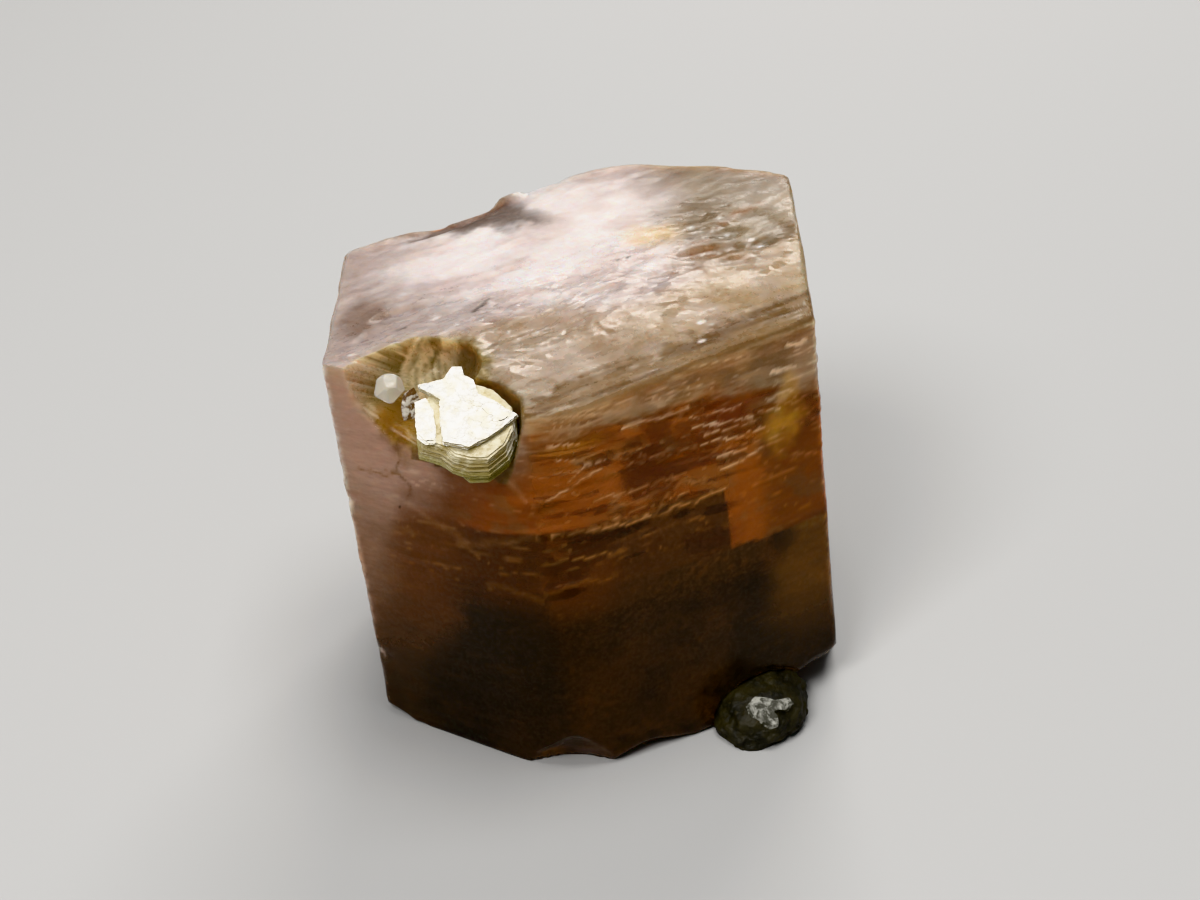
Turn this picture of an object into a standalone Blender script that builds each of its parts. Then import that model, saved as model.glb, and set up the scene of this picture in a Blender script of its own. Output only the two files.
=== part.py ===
# A stout, six-sided apatite crystal on its broken base, with a book of mica
# set in its upper front-left face and a lump of matrix under its lower right.
# Metres, +Z up. X runs to the right, Y away from the front, and the origin is
# the middle of the footprint, on the surface that the crystal stands on.
import math

import bmesh
import bpy
from mathutils import Matrix, Vector, noise

MM = 0.001
GAP = 0.3 * MM                      # left between neighbouring solids

# ---- driving dimensions of the crystal, in its own frame (Z is the long axis)
LEAN = math.radians(-6.32)          # long axis leans towards -X
FOOT = Vector((1.558, 0.0, 1.273)) * MM   # where the crystal's own frame stands
MIDDLE = Vector((-0.167, 0.610, 0.0)) * MM   # brings the middle of the footprint to the origin
HEIGHT = 19.97 * MM                 # flat top above the crystal's own zero
# distance of each side face from the long axis, by the azimuth of its normal
SIDES = {0: 10.88, 63: 12.25, 120: 9.85, 180: 11.78, 240: 12.40, 300: 9.95}
CORNERS = {92: 12.10, 270: 12.35}   # upright edges worn flat
EDGE_ROUND = 0.34 * MM

# ---- the crown: low slopes worn over the front of the top. Azimuth of the
# slope, its angle from flat, a point of the upper rim (x, y) and how far below
# the flat top the slope passes there, in millimetres
CROWN = [
    (300, 9.0, (4.3, -9.0), 0.95),
    (300, 21.0, (4.3, -9.0), 1.55),
    (276, 13.0, (-2.4, -12.9), 1.05),
    (286, 30.0, (-2.4, -12.9), 1.50),
    (322, 20.0, (10.9, -5.2), 1.35),
]

# ---- colours, roughness
PINK = (0.62, 0.43, 0.38)
SILVER = (0.86, 0.85, 0.80)
PALE = (0.74, 0.70, 0.64)
OLIVE = (0.23, 0.18, 0.09)


# --------------------------------------------------------------------------
# clean start
for ob in list(bpy.data.objects):
    bpy.data.objects.remove(ob, do_unlink=True)
for block in (bpy.data.meshes, bpy.data.curves, bpy.data.materials):
    for item in list(block):
        block.remove(item)

parts = bpy.data.collections.new("apatite_crystal_with_mica")
cutters = bpy.data.collections.new("cutters")
bpy.context.scene.collection.children.link(parts)
bpy.context.scene.collection.children.link(cutters)


def finish(name, colour, roughness, metallic=0.0):
    m = bpy.data.materials.new(name)
    m.use_nodes = True
    p = m.node_tree.nodes["Principled BSDF"]
    p.inputs["Base Color"].default_value = (*colour, 1)
    p.inputs["Roughness"].default_value = roughness
    p.inputs["Metallic"].default_value = metallic
    return m


specimen = bpy.data.objects.new("specimen", None)   # carries every piece
specimen.empty_display_size = 0.01
specimen.location = MIDDLE
parts.objects.link(specimen)


def add_object(name, bm, where, material=None, parent=None):
    bmesh.ops.recalc_face_normals(bm, faces=bm.faces)
    me = bpy.data.meshes.new(name)
    bm.to_mesh(me)
    bm.free()
    ob = bpy.data.objects.new(name, me)
    where.objects.link(ob)
    if material:
        me.materials.append(material)
    ob.parent = parent or specimen
    if where is cutters:
        ob.hide_render = True
        ob.display_type = "WIRE"
    return ob


def cut(target, cutter, operation="DIFFERENCE"):
    m = target.modifiers.new(cutter.name, "BOOLEAN")
    m.operation = operation
    m.solver = "EXACT"
    m.object = cutter


def cleave(bm, point, normal):
    """Breaks off everything on the normal's side of a plane."""
    geom = bm.verts[:] + bm.edges[:] + bm.faces[:]
    out = bmesh.ops.bisect_plane(
        bm, geom=geom, dist=1e-7, plane_co=point, plane_no=normal, clear_outer=True
    )
    rim = [e for e in out["geom_cut"] if isinstance(e, bmesh.types.BMEdge)]
    if rim:
        bmesh.ops.edgeloop_fill(bm, edges=rim)


def flat(azimuth):
    a = math.radians(azimuth)
    return Vector((math.cos(a), math.sin(a), 0.0))


def pebble(name, centre, radii, turn=0.0, roughness=0.06, seed=0.0, level=3,
           where=None, material=None, parent=None, grow=0.0):
    """A rounded lump: an icosphere stretched to its radii and worn uneven."""
    bm = bmesh.new()
    bmesh.ops.create_icosphere(bm, subdivisions=level, radius=1.0)
    r = Vector(radii) * MM
    spin = Matrix.Rotation(math.radians(turn), 3, "Z")
    for v in bm.verts:
        n = v.co.normalized()
        bump = 1.0 + roughness * noise.noise(n * 1.7 + Vector((seed, 0.3, 1.1)))
        q = Vector((n.x * r.x, n.y * r.y, n.z * r.z)) * bump
        q += Vector((n.x / r.x, n.y / r.y, n.z / r.z)).normalized() * grow
        v.co = spin @ q + Vector(centre) * MM
    return add_object(name, bm, where or cutters, material, parent)


def slab(name, outline, thickness, place, where=None, material=None, grow=0.0):
    """A flat outline as a filled curve with a thickness, made a mesh."""
    cu = bpy.data.curves.new(name, "CURVE")
    cu.dimensions = "2D"
    cu.fill_mode = "BOTH"
    cu.extrude = thickness / 2
    sp = cu.splines.new("POLY")
    sp.points.add(len(outline) - 1)
    n = len(outline)
    for i, (x, y) in enumerate(outline):
        p = Vector((x, y))
        if grow:
            a = (p - Vector(outline[i - 1])).normalized()
            b = (Vector(outline[(i + 1) % n]) - p).normalized()
            out = Vector((a.y + b.y, -a.x - b.x))
            p = p + out.normalized() * grow / MM
        sp.points[i].co = (p.x * MM, p.y * MM, 0, 1)
    sp.use_cyclic_u = True
    tmp = bpy.data.objects.new(name, cu)
    (where or cutters).objects.link(tmp)
    bpy.context.view_layer.update()
    me = bpy.data.meshes.new_from_object(
        tmp.evaluated_get(bpy.context.evaluated_depsgraph_get())
    )
    bm = bmesh.new()
    bm.from_mesh(me)
    bmesh.ops.remove_doubles(bm, verts=bm.verts, dist=1e-6)
    bpy.data.objects.remove(tmp, do_unlink=True)
    bpy.data.curves.remove(cu)
    bpy.data.meshes.remove(me)
    ob = add_object(name, bm, where or cutters, material)
    ob.matrix_basis = place
    return ob


pink = finish("apatite", PINK, 0.30)
silver = finish("mica", SILVER, 0.22)
pale = finish("pale_mineral", PALE, 0.35)
olive = finish("matrix", OLIVE, 0.65)

# the crystal's own frame: everything grown with the crystal hangs from it
axis = bpy.data.objects.new("crystal_axis", None)
axis.empty_display_size = 0.01
axis.location = FOOT
axis.rotation_euler = (0.0, LEAN, 0.0)
axis.parent = specimen
parts.objects.link(axis)
bpy.context.view_layer.update()

# --------------------------------------------------------------------------
# apatite crystal: a block cleaved to its side faces, top and worn crown
bm = bmesh.new()
bmesh.ops.create_cube(bm, size=60 * MM)
for azimuth, d in SIDES.items():
    cleave(bm, flat(azimuth) * d * MM, flat(azimuth))
for azimuth, d in CORNERS.items():
    cleave(bm, flat(azimuth) * d * MM, flat(azimuth))
cleave(bm, Vector((0, 0, HEIGHT)), Vector((0, 0, 1)))
for azimuth, slope, (x, y), depth in CROWN:
    s = math.radians(slope)
    n = flat(azimuth) * math.sin(s) + Vector((0, 0, math.cos(s)))
    cleave(bm, Vector((x, y, -depth)) * MM + Vector((0, 0, HEIGHT)), n)
cleave(bm, Vector((0, 0, -6 * MM)), Vector((0, 0, -1)))
crystal = add_object("apatite_crystal", bm, parts, pink, axis)
bevel = crystal.modifiers.new("worn_edges", "BEVEL")
bevel.width = EDGE_ROUND
bevel.segments = 2
bevel.limit_method = "ANGLE"
bevel.angle_limit = math.radians(12)

# broken base: cut off flat where it stands
bm = bmesh.new()
bmesh.ops.create_cube(bm, size=1.0)
bmesh.ops.scale(bm, verts=bm.verts, vec=(0.06, 0.06, 0.03))
bmesh.ops.translate(bm, verts=bm.verts, vec=(0, 0, -0.015))
cut(crystal, add_object("rest_cut", bm, cutters))

# chips broken out of the rim of the base, seen from outside the prism; the
# centre is a position along the front edge, in world millimetres
CHIPS = [
    # centre x, y, z, radii x, y, z, turn
    ((-10.2, -8.2, -0.9), (1.9, 1.7, 1.5), 20),
    ((-0.9, -13.4, -0.9), (3.1, 2.2, 2.4), 6),
    ((-4.8, -12.3, -1.6), (3.2, 1.7, 2.3), -30),
    ((3.2, -11.6, -1.4), (4.2, 2.0, 2.3), 30),
    ((12.8, -5.4, -0.9), (4.4, 3.4, 3.1), 30),
    ((13.2, 4.2, -1.2), (2.4, 4.6, 2.6), 0),
    ((6.0, 12.4, -1.3), (4.6, 2.4, 2.6), -20),
    ((-7.6, 8.2, -1.2), (3.8, 2.2, 2.0), 32),
    ((-11.4, -1.0, -1.1), (1.5, 4.0, 1.8), 0),
]
for i, (c, r, turn) in enumerate(CHIPS):
    cut(crystal, pebble(f"rim_chip_{i}", c, r, turn, 0.12, i * 3.1, 2))

# shell-shaped breaks in the top, right of the middle and on its back rim
BREAKS = [
    ((6.8, -0.8, 24.9), (4.8, 3.2, 3.3), 14),
    ((9.9, 3.6, 25.0), (2.6, 3.6, 3.2), -14),
    ((-6.6, 9.9, 23.3), (4.2, 1.9, 3.1), 30),
]
for i, (c, r, turn) in enumerate(BREAKS):
    cut(crystal, pebble(f"top_break_{i}", c, r, turn, 0.10, 7 + i * 2.3, 2))

# the stained pocket in the upper front-left edge, behind the mica
cut(crystal, pebble("pocket", (-7.85, -8.8, 20.1), (2.75, 3.1, 3.0), -30, 0.16, 4.2, 3))

# --------------------------------------------------------------------------
# mica book: stepped sheets, each wider than the one on top of it
BOOK_AT = Vector((-5.51, -11.65, 19.35)) * MM     # middle of the top sheet
BOOK_TILT = math.radians(30)                      # sheets dip to the front
BOOK_TURN = math.radians(8)
book_frame = (
    Matrix.Translation(BOOK_AT)
    @ Matrix.Rotation(BOOK_TURN, 4, "Z")
    @ Matrix.Rotation(BOOK_TILT, 4, "X")
)
TOP_SHEET = [
    (-2.00, 1.70), (-1.94, 1.50), (-1.44, 1.16), (-1.12, 0.87), (-1.20, -0.16),
    (-1.16, -1.32), (-0.12, -1.66), (0.66, -1.34), (1.37, -0.90), (2.24, -0.20),
    (1.70, 0.22), (1.30, 0.60), (0.60, 1.00), (0.44, 1.78), (0.06, 2.02),
    (0.00, 2.48), (-0.42, 2.52), (-0.88, 1.90),
]
WIDE_SHEET = [
    (-2.20, 1.10), (-2.32, -0.15), (-2.30, -1.28), (-1.33, -1.70), (-0.84, -2.18),
    (-0.08, -2.50), (0.80, -2.56), (1.78, -1.80), (2.28, -0.80), (2.34, 0.40),
    (1.50, 1.50), (0.20, 2.10), (-1.20, 1.90),
]


def stepped(outline, f):
    return [(x * f, y * f) for x, y in outline]


SHEETS = [
    # outline, top and bottom of the layer below the top sheet's middle (mm)
    (TOP_SHEET, 0.12, -0.36),
    (stepped(WIDE_SHEET, 0.90), -0.34, -0.80),
    (WIDE_SHEET, -0.78, -1.30),
    (stepped(WIDE_SHEET, 0.96), -1.28, -1.75),
]
book = None
for i, (outline, top, low) in enumerate(SHEETS):
    thick = (top - low) * MM
    at = book_frame @ Matrix.Translation((0, 0, (top + low) / 2 * MM))
    if book is None:
        book = slab("mica_book", outline, thick, at, parts, silver)
    else:
        cut(book, slab(f"sheet_{i}", outline, thick, at), "UNION")
seat = slab(
    "book_seat", stepped(WIDE_SHEET, 1.0), 3.9 * MM,
    book_frame @ Matrix.Translation((0, 0, (-2.05 + 1.95) * MM)), grow=GAP,
)
cut(crystal, seat)

# small mica sheet that stands beside the left end of the book
FLAKE = [(-0.42, -0.70), (0.30, -0.62), (0.46, 0.10), (0.22, 0.74), (-0.30, 0.52),
         (-0.50, -0.10)]
flake_frame = (
    Matrix.Translation(Vector((-8.05, -10.15, 19.05)) * MM)
    @ Matrix.Rotation(math.radians(24), 4, "Z")
    @ Matrix.Rotation(math.radians(78), 4, "X")
)
flake = slab("mica_flake", FLAKE, 0.30 * MM, flake_frame, parts, silver)

# pale rounded grain, in the left of the pocket
grain = pebble("pale_grain", (-9.15, -9.0, 19.25), (0.64, 0.56, 0.62), 20, 0.22, 2.0,
               2, parts, pale)
cut(crystal, pebble("grain_seat", (-9.15, -9.0, 19.25), (0.64, 0.56, 0.62), 20, 0.22,
                    2.0, 2, grow=GAP))

# --------------------------------------------------------------------------
# lump of matrix under the lower right, and the mica plate on its front
KNOB = ((8.45, -7.75, 0.55), (2.32, 3.15, 1.60), -16, 0.14, 5.0, 3)
knob = pebble("base_knob", *KNOB, where=parts, material=olive)
bm = bmesh.new()
bmesh.ops.create_cube(bm, size=1.0)
bmesh.ops.scale(bm, verts=bm.verts, vec=(0.06, 0.06, 0.03))
bmesh.ops.translate(bm, verts=bm.verts, vec=(0, 0, -0.015))
floor_cut = add_object("knob_rest_cut", bm, cutters)
cut(knob, floor_cut)
cut(crystal, pebble("knob_seat", *KNOB, grow=GAP))

PLATE = [(-0.90, 0.35), (-0.78, -0.15), (-0.30, -0.30), (0.10, -0.80), (0.45, -0.62),
         (0.62, -0.05), (1.25, 0.20), (1.05, 0.50), (0.20, 0.62), (-0.55, 0.72)]
plate_frame = (
    Matrix.Translation(Vector((8.50, -9.85, 1.74)) * MM)
    @ Matrix.Rotation(math.radians(6), 4, "Z")
    @ Matrix.Rotation(math.radians(33), 4, "X")
)
plate = slab("knob_mica", PLATE, 0.36 * MM, plate_frame, parts, silver)
cut(knob, slab("plate_seat", PLATE, 1.6 * MM,
               plate_frame @ Matrix.Translation((0, 0, 0.32 * MM)), grow=GAP))

for ob in (crystal, knob, grain):
    ob.data.shade_smooth()
    ob.data.set_sharp_from_angle(angle=math.radians(28))
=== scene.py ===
import math

import bmesh
import bpy
import numpy as np
from mathutils import Matrix, Vector


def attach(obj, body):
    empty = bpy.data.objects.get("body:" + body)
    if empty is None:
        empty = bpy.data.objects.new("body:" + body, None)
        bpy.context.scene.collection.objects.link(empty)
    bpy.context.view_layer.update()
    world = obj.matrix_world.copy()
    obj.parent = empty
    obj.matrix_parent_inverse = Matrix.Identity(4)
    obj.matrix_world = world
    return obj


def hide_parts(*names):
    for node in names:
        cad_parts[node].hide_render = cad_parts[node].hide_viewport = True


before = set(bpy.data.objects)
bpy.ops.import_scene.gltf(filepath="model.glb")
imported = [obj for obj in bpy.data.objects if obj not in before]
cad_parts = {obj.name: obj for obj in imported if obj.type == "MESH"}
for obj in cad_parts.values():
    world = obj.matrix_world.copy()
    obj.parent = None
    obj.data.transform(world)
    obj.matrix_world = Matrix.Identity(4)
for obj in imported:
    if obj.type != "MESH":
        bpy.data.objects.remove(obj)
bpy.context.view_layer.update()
MM = 0.001

# --------------------------------------------------------------------------
# The crystal's own frame (millimetres): Z is its long axis, which leans to -X
LEAN = math.radians(-6.32)
MIDDLE = np.array([-0.167, 0.610, 0.0])
FOOT = np.array([1.558, 0.0, 1.273]) + MIDDLE
ROT = np.array([[math.cos(LEAN), 0, math.sin(LEAN)], [0, 1, 0], [-math.sin(LEAN), 0, math.cos(LEAN)]])
HEIGHT = 19.97


def to_row(p):
    return p @ ROT.T + FOOT


def to_crystal(w):
    return (w - FOOT) @ ROT


# --------------------------------------------------------------------------
# camera, at the photograph's angle
def camera():
    cam = bpy.data.objects.new("camera", bpy.data.cameras.new("camera"))
    bpy.context.scene.collection.objects.link(cam)
    cam.data.sensor_fit = "HORIZONTAL"
    cam.data.sensor_width = 36.0
    cam.data.lens = 66.0
    cam.data.clip_start = 0.001
    cam.data.clip_end = 20.0
    right = Vector((1.0, -0.0081, 0.0)).normalized()
    back = Vector((-0.0070, -0.8647, 0.5023)).normalized()
    up = back.cross(right).normalized()
    right = up.cross(back).normalized()
    m = Matrix((right, up, back)).transposed().to_4x4()
    m.translation = Vector((-0.000497, -0.09572, 0.06673))
    cam.matrix_world = m
    bpy.context.scene.camera = cam
    return cam


camera()


# --------------------------------------------------------------------------
# noise on arrays of points
def _hash(x, y, z, seed):
    h = (x * 374761393 + y * 668265263 + z * 1440662683 + seed * 974634777) & 0xFFFFFFFF
    h = ((h ^ (h >> 13)) * 1274126177) & 0xFFFFFFFF
    h = ((h ^ (h >> 15)) * 2246822519) & 0xFFFFFFFF
    return h ^ (h >> 16)


def perlin(p, seed=0):
    i = np.floor(p).astype(np.int64)
    f = p - i
    u = f * f * f * (f * (f * 6 - 15) + 10)
    out = np.zeros(len(p))
    for dx in (0, 1):
        wx = u[:, 0] if dx else 1 - u[:, 0]
        for dy in (0, 1):
            wy = u[:, 1] if dy else 1 - u[:, 1]
            for dz in (0, 1):
                wz = u[:, 2] if dz else 1 - u[:, 2]
                h = _hash(i[:, 0] + dx, i[:, 1] + dy, i[:, 2] + dz, seed)
                gx = (h & 1023) / 511.5 - 1
                gy = ((h >> 10) & 1023) / 511.5 - 1
                gz = ((h >> 20) & 1023) / 511.5 - 1
                out += wx * wy * wz * (
                    gx * (f[:, 0] - dx) + gy * (f[:, 1] - dy) + gz * (f[:, 2] - dz)
                )
    return out * 1.3


def fbm(p, octaves=3, seed=0, gain=0.5):
    out, a, s = np.zeros(len(p)), 1.0, 1.0
    for o in range(octaves):
        out += a * perlin(p * s + o * 7.31, seed + o)
        a *= gain
        s *= 2.03
    return out


def cells(p, seed=0):
    """Nearest cell of a scattered-point pattern: distance, second distance, offset from its point, and the cell's own random vector."""
    i = np.floor(p).astype(np.int64)
    best = np.full(len(p), 1e9)
    second = np.full(len(p), 1e9)
    off = np.zeros((len(p), 3))
    rnd = np.zeros((len(p), 3))
    for dx in (-1, 0, 1):
        for dy in (-1, 0, 1):
            for dz in (-1, 0, 1):
                c = i + (dx, dy, dz)
                h = _hash(c[:, 0], c[:, 1], c[:, 2], seed)
                q = np.stack([(h & 1023), (h >> 10) & 1023, (h >> 20) & 1023], 1) / 1023.0
                d = p - (c + q)
                L = np.sqrt((d * d).sum(1))
                closer = L < best
                second = np.where(closer, best, np.minimum(second, L))
                best = np.where(closer, L, best)
                off[closer] = d[closer]
                h2 = _hash(c[:, 0], c[:, 1], c[:, 2], seed + 101)
                r = np.stack([(h2 & 1023), (h2 >> 10) & 1023, (h2 >> 20) & 1023], 1) / 511.5 - 1
                rnd[closer] = r[closer]
    return best, second, off, rnd


def ramp(v, lo, hi):
    t = np.clip((v - lo) / (hi - lo), 0, 1)
    return t * t * (3 - 2 * t)


def smax(a, b, k):
    h = np.maximum(k - np.abs(a - b), 0.0) / k
    return np.maximum(a, b) + h * h * k * 0.25


# --------------------------------------------------------------------------
# shape of the crystal, as a function that is below zero inside it
SIDES = {0: 10.88, 63: 12.25, 120: 9.85, 180: 11.78, 240: 12.40, 300: 9.95}
CROWN = [
    (300, 9.0, (4.3, -9.0), 0.95),
    (300, 21.0, (4.3, -9.0), 1.55),
    (276, 13.0, (-2.4, -12.9), 1.05),
    (286, 30.0, (-2.4, -12.9), 1.50),
    (322, 20.0, (10.9, -5.2), 1.35),
]
RIM_CHIPS = [
    ((-10.2, -8.2, -0.9), (1.9, 1.7, 1.5), 20),
    ((-0.9, -13.4, -0.9), (3.3, 2.5, 2.9), 6),
    ((-4.8, -12.3, -1.6), (3.2, 1.7, 2.3), -30),
    ((3.2, -11.6, -1.4), (4.2, 2.0, 2.3), 30),
    ((12.8, -5.4, -0.9), (4.4, 3.4, 3.1), 30),
    ((13.2, 4.2, -1.2), (2.4, 4.6, 2.6), 0),
    ((6.0, 12.4, -1.3), (4.6, 2.4, 2.6), -20),
    ((-7.6, 8.2, -1.2), (3.8, 2.2, 2.0), 32),
    ((-11.4, -1.0, -1.1), (1.5, 4.0, 1.8), 0),
]
POCKET = ((-7.85, -8.8, 20.1), (2.75, 3.1, 3.0), -30)
KNOB = ((8.45, -7.75, 0.55), (2.32, 3.15, 1.60), -16)
GRAIN = ((-9.15, -9.0, 19.25), (0.64, 0.56, 0.62), 20)
BOOK_AT = np.array([-5.51, -11.65, 19.35]) + MIDDLE
BOOK_ROT = np.array(
    Matrix.Rotation(math.radians(8), 3, "Z") @ Matrix.Rotation(math.radians(30), 3, "X")
)
WIDE_SHEET = [
    (-2.20, 1.10), (-2.32, -0.15), (-2.30, -1.28), (-1.33, -1.70), (-0.84, -2.18),
    (-0.08, -2.50), (0.80, -2.56), (1.78, -1.80), (2.28, -0.80), (2.34, 0.40),
    (1.50, 1.50), (0.20, 2.10), (-1.20, 1.90),
]
TOP_SHEET = [
    (-2.00, 1.70), (-1.94, 1.50), (-1.44, 1.16), (-1.12, 0.87), (-1.20, -0.16),
    (-1.16, -1.32), (-0.12, -1.66), (0.66, -1.34), (1.37, -0.90), (2.24, -0.20),
    (1.70, 0.22), (1.30, 0.60), (0.60, 1.00), (0.44, 1.78), (0.06, 2.02),
    (0.00, 2.48), (-0.42, 2.52), (-0.88, 1.90),
]


def flat(azimuth):
    a = math.radians(azimuth)
    return np.array([math.cos(a), math.sin(a), 0.0])


def lump(w, lump_shape, grow=0.0, rough=0.0, seed=0):
    """Distance outside a stretched ball, in row millimetres."""
    (c, r, turn) = lump_shape
    c = np.array(c) + MIDDLE
    r = np.array(r) + grow
    t = math.radians(turn)
    d = w - c
    q = np.stack(
        [d[:, 0] * math.cos(t) + d[:, 1] * math.sin(t), -d[:, 0] * math.sin(t) + d[:, 1] * math.cos(t), d[:, 2]], 1
    )
    e = q / r
    L = np.sqrt((e * e).sum(1)) + 1e-9
    if rough:
        L = L / (1 + rough * perlin(e / L[:, None] * 1.7 + seed * 3.7, 31 + seed))
    return L * (L - 1) / np.sqrt(((e / r) ** 2).sum(1)).clip(1e-9)


def polygon_distance(p, outline):
    """Signed distance to a closed outline, below zero inside it."""
    v = np.array(outline)
    d = np.full(len(p), 1e9)
    inside = np.zeros(len(p), bool)
    for a, b in zip(v, np.roll(v, -1, 0)):
        e, w = b - a, p - a
        t = np.clip((w @ e) / (e @ e), 0, 1)
        d = np.minimum(d, ((w - t[:, None] * e) ** 2).sum(1))
        c = (a[1] > p[:, 1]) != (b[1] > p[:, 1])
        x = a[0] + (p[:, 1] - a[1]) / (b[1] - a[1] + 1e-12) * e[0]
        inside ^= c & (p[:, 0] < x)
    return np.where(inside, -1, 1) * np.sqrt(d)


def top_relief(p):
    """How far the real top lies below the flat one, by place."""
    q = p.copy()
    q[:, 2] = 0
    u = q[:, 0] * math.cos(math.radians(30)) + q[:, 1] * math.sin(math.radians(30))
    v = -q[:, 0] * math.sin(math.radians(30)) + q[:, 1] * math.cos(math.radians(30))
    uv = np.stack([u, v, 0 * u], 1)
    h = 0.10 + 0.12 * perlin(q * 0.16, 3) + 0.05 * perlin(uv * (0.25, 0.6, 1), 4)
    # low steps, roughly along the front-right edge
    t = v * 0.42 + 1.1 * perlin(uv * (0.16, 0.3, 1), 5) + 0.3 * perlin(uv * (0.7, 0.9, 1), 6)
    fr = t - np.floor(t)
    h += 0.13 * (fr - ramp(fr, 0.80, 1.0)) * ramp(perlin(uv * (0.2, 0.3, 1), 8), -0.3, 0.3) * (1 - 0.55 * ramp(q[:, 0], 2.0, 6.0))
    # shell-shaped breaks: centre, long and short half-axes, turn, depth
    for cx, cy, a, b, turn, depth in [
        (6.3, 0.2, 2.0, 0.80, 18, 0.17),
        (4.5, -1.6, 1.9, 0.75, 28, 0.13),
        (7.4, 2.3, 1.2, 0.60, 24, 0.11),
        (9.0, 0.7, 1.0, 0.70, 50, 0.10),
        (7.5, -0.9, 1.1, 0.5, 10, 0.12),
        (3.0, -0.2, 1.2, 0.45, 34, 0.10),
        (1.0, -3.0, 1.5, 0.5, 26, 0.11),
        (7.6, -2.3, 1.8, 0.8, 14, 0.11),
        (8.6, 2.2, 2.2, 2.6, 10, 0.09),
        (3.2, 1.9, 1.6, 0.9, 35, 0.10),
        (-8.6, -3.2, 1.6, 0.7, 30, 0.16),
        (-2.0, -6.6, 3.6, 1.7, 24, 0.22),
    ]:
        t = math.radians(turn)
        dx, dy = q[:, 0] - cx, q[:, 1] - cy
        ex = (dx * math.cos(t) + dy * math.sin(t)) / a
        ey = (-dx * math.sin(t) + dy * math.cos(t)) / b
        r = np.sqrt(ex * ex + ey * ey) * (1 + 0.22 * perlin(q * 1.1, 17))
        h += depth * (1 - ramp(r, 0.55, 1.0)) * (1 + 0.5 * ey)
    # lifted piece of the back rim
    r = np.sqrt(((q[:, :2] - (-3.9, 9.6)) / (1.3, 1.2)) ** 2 @ np.ones(2))
    h -= 0.32 * (1 - ramp(r, 0.5, 1.0))
    # the far right corner stands a little higher
    h -= 0.16 * (1 - ramp(np.sqrt(((q[:, :2] - (7.6, 8.4)) ** 2).sum(1)), 1.0, 5.5))
    # worn hollow along the back-left rim
    r = np.sqrt((((q[:, :2] - (-6.3, 7.2)) @ np.array([[0.79, -0.62], [0.62, 0.79]])) / (3.6, 0.9)) ** 2 @ np.ones(2))
    h += 0.30 * (1 - ramp(r, 0.5, 1.1))
    return h


def near_box(w, centre, reach):
    return np.where((np.abs(w - centre) < reach).all(1))[0]


def carve(f, w, shape, k, grow=0.0, rough=0.0, seed=0):
    """Takes a lump's shape out of the solid, looking only at points close to it."""
    c = np.array(shape[0]) + MIDDLE
    idx = near_box(w, c, max(shape[1]) + 1.2)
    if len(idx):
        f[idx] = smax(f[idx], -lump(w[idx], shape, grow, rough, seed), k)


def solid(p):
    x, y, z = p.T
    w = to_row(p)
    wear = 0.30 + 0.35 * np.clip(perlin(p * 0.55, 21), -0.5, 1)
    wear = np.clip(wear, 0.10, 1.2)
    f = None
    for azimuth, d in SIDES.items():
        g = p @ flat(azimuth) - d
        f = g if f is None else smax(f, g, wear)
    f = smax(f, p @ flat(270) - 12.35, 1.3)
    f = smax(f, p @ flat(92) - 12.10, 0.5)
    up = np.where(z > 16.2)[0]
    if len(up):
        q, g = p[up], f[up]
        g = smax(g, q[:, 2] - (HEIGHT - top_relief(q)), wear[up] * 0.8)
        ripple = 0.10 * perlin(q * 0.5, 23)
        for azimuth, slope, (cx, cy), depth in CROWN:
            s = math.radians(slope)
            n = flat(azimuth) * math.sin(s) + np.array([0, 0, math.cos(s)])
            g = smax(g, (q - (cx, cy, HEIGHT - depth)) @ n + ripple, 0.35)
        f[up] = g
    # broken base, which stands on its high parts
    low = np.where(w[:, 2] < 1.2)[0]
    if len(low):
        v = w[low]
        hollow = 0.30 * ramp(fbm(v * (0.28, 0.28, 0) + 5, 3, 41), 0.05, 0.75)
        f[low] = smax(f[low], hollow - v[:, 2], 0.10)
    for i, chip in enumerate(RIM_CHIPS):
        carve(f, w, chip, 0.12, 0, 0.14, i)
    near = near_box(w, np.array(POCKET[0]) + MIDDLE, max(POCKET[1]) + 1.2)
    if len(near):
        soft = 0.12 + 0.75 * ramp(-w[near, 2], -19.6, -18.2)
        f[near] = smax(f[near], -lump(w[near], POCKET, 0, 0.16, 12), soft)
    carve(f, w, KNOB, 0.10, 0.06)
    carve(f, w, GRAIN, 0.06, 0.03)
    # seat of the mica book
    near = near_box(w, BOOK_AT, 3.6)
    if len(near):
        b = (w[near] - BOOK_AT) @ BOOK_ROT
        g = np.maximum(polygon_distance(b[:, :2], WIDE_SHEET) - 0.05, -1.86 - b[:, 2])
        f[near] = smax(f[near], -g, 0.06)
    return f


def hull_radius(phi):
    r = np.full(len(phi), 1e9)
    planes = dict(SIDES)
    planes.update({92: 12.10, 270: 12.35})
    for azimuth, d in planes.items():
        c = np.cos(phi - math.radians(azimuth))
        r = np.where(c > 1e-6, np.minimum(r, d / np.maximum(c, 1e-6)), r)
    return r


def stitch(a, b, ang_a, ang_b, faces):
    """Triangles between two closed rings of points, a outside b, both in turning order."""
    na, nb, i, j = len(a), len(b), 0, 0
    while i < na or j < nb:
        ta = ang_a[i + 1] if i < na else 9e9
        tb = ang_b[j + 1] if j < nb else 9e9
        if ta <= tb:
            faces.append((a[i % na], a[(i + 1) % na], b[j % nb]))
            i += 1
        else:
            faces.append((a[i % na], b[(j + 1) % nb], b[j % nb]))
            j += 1


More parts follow.
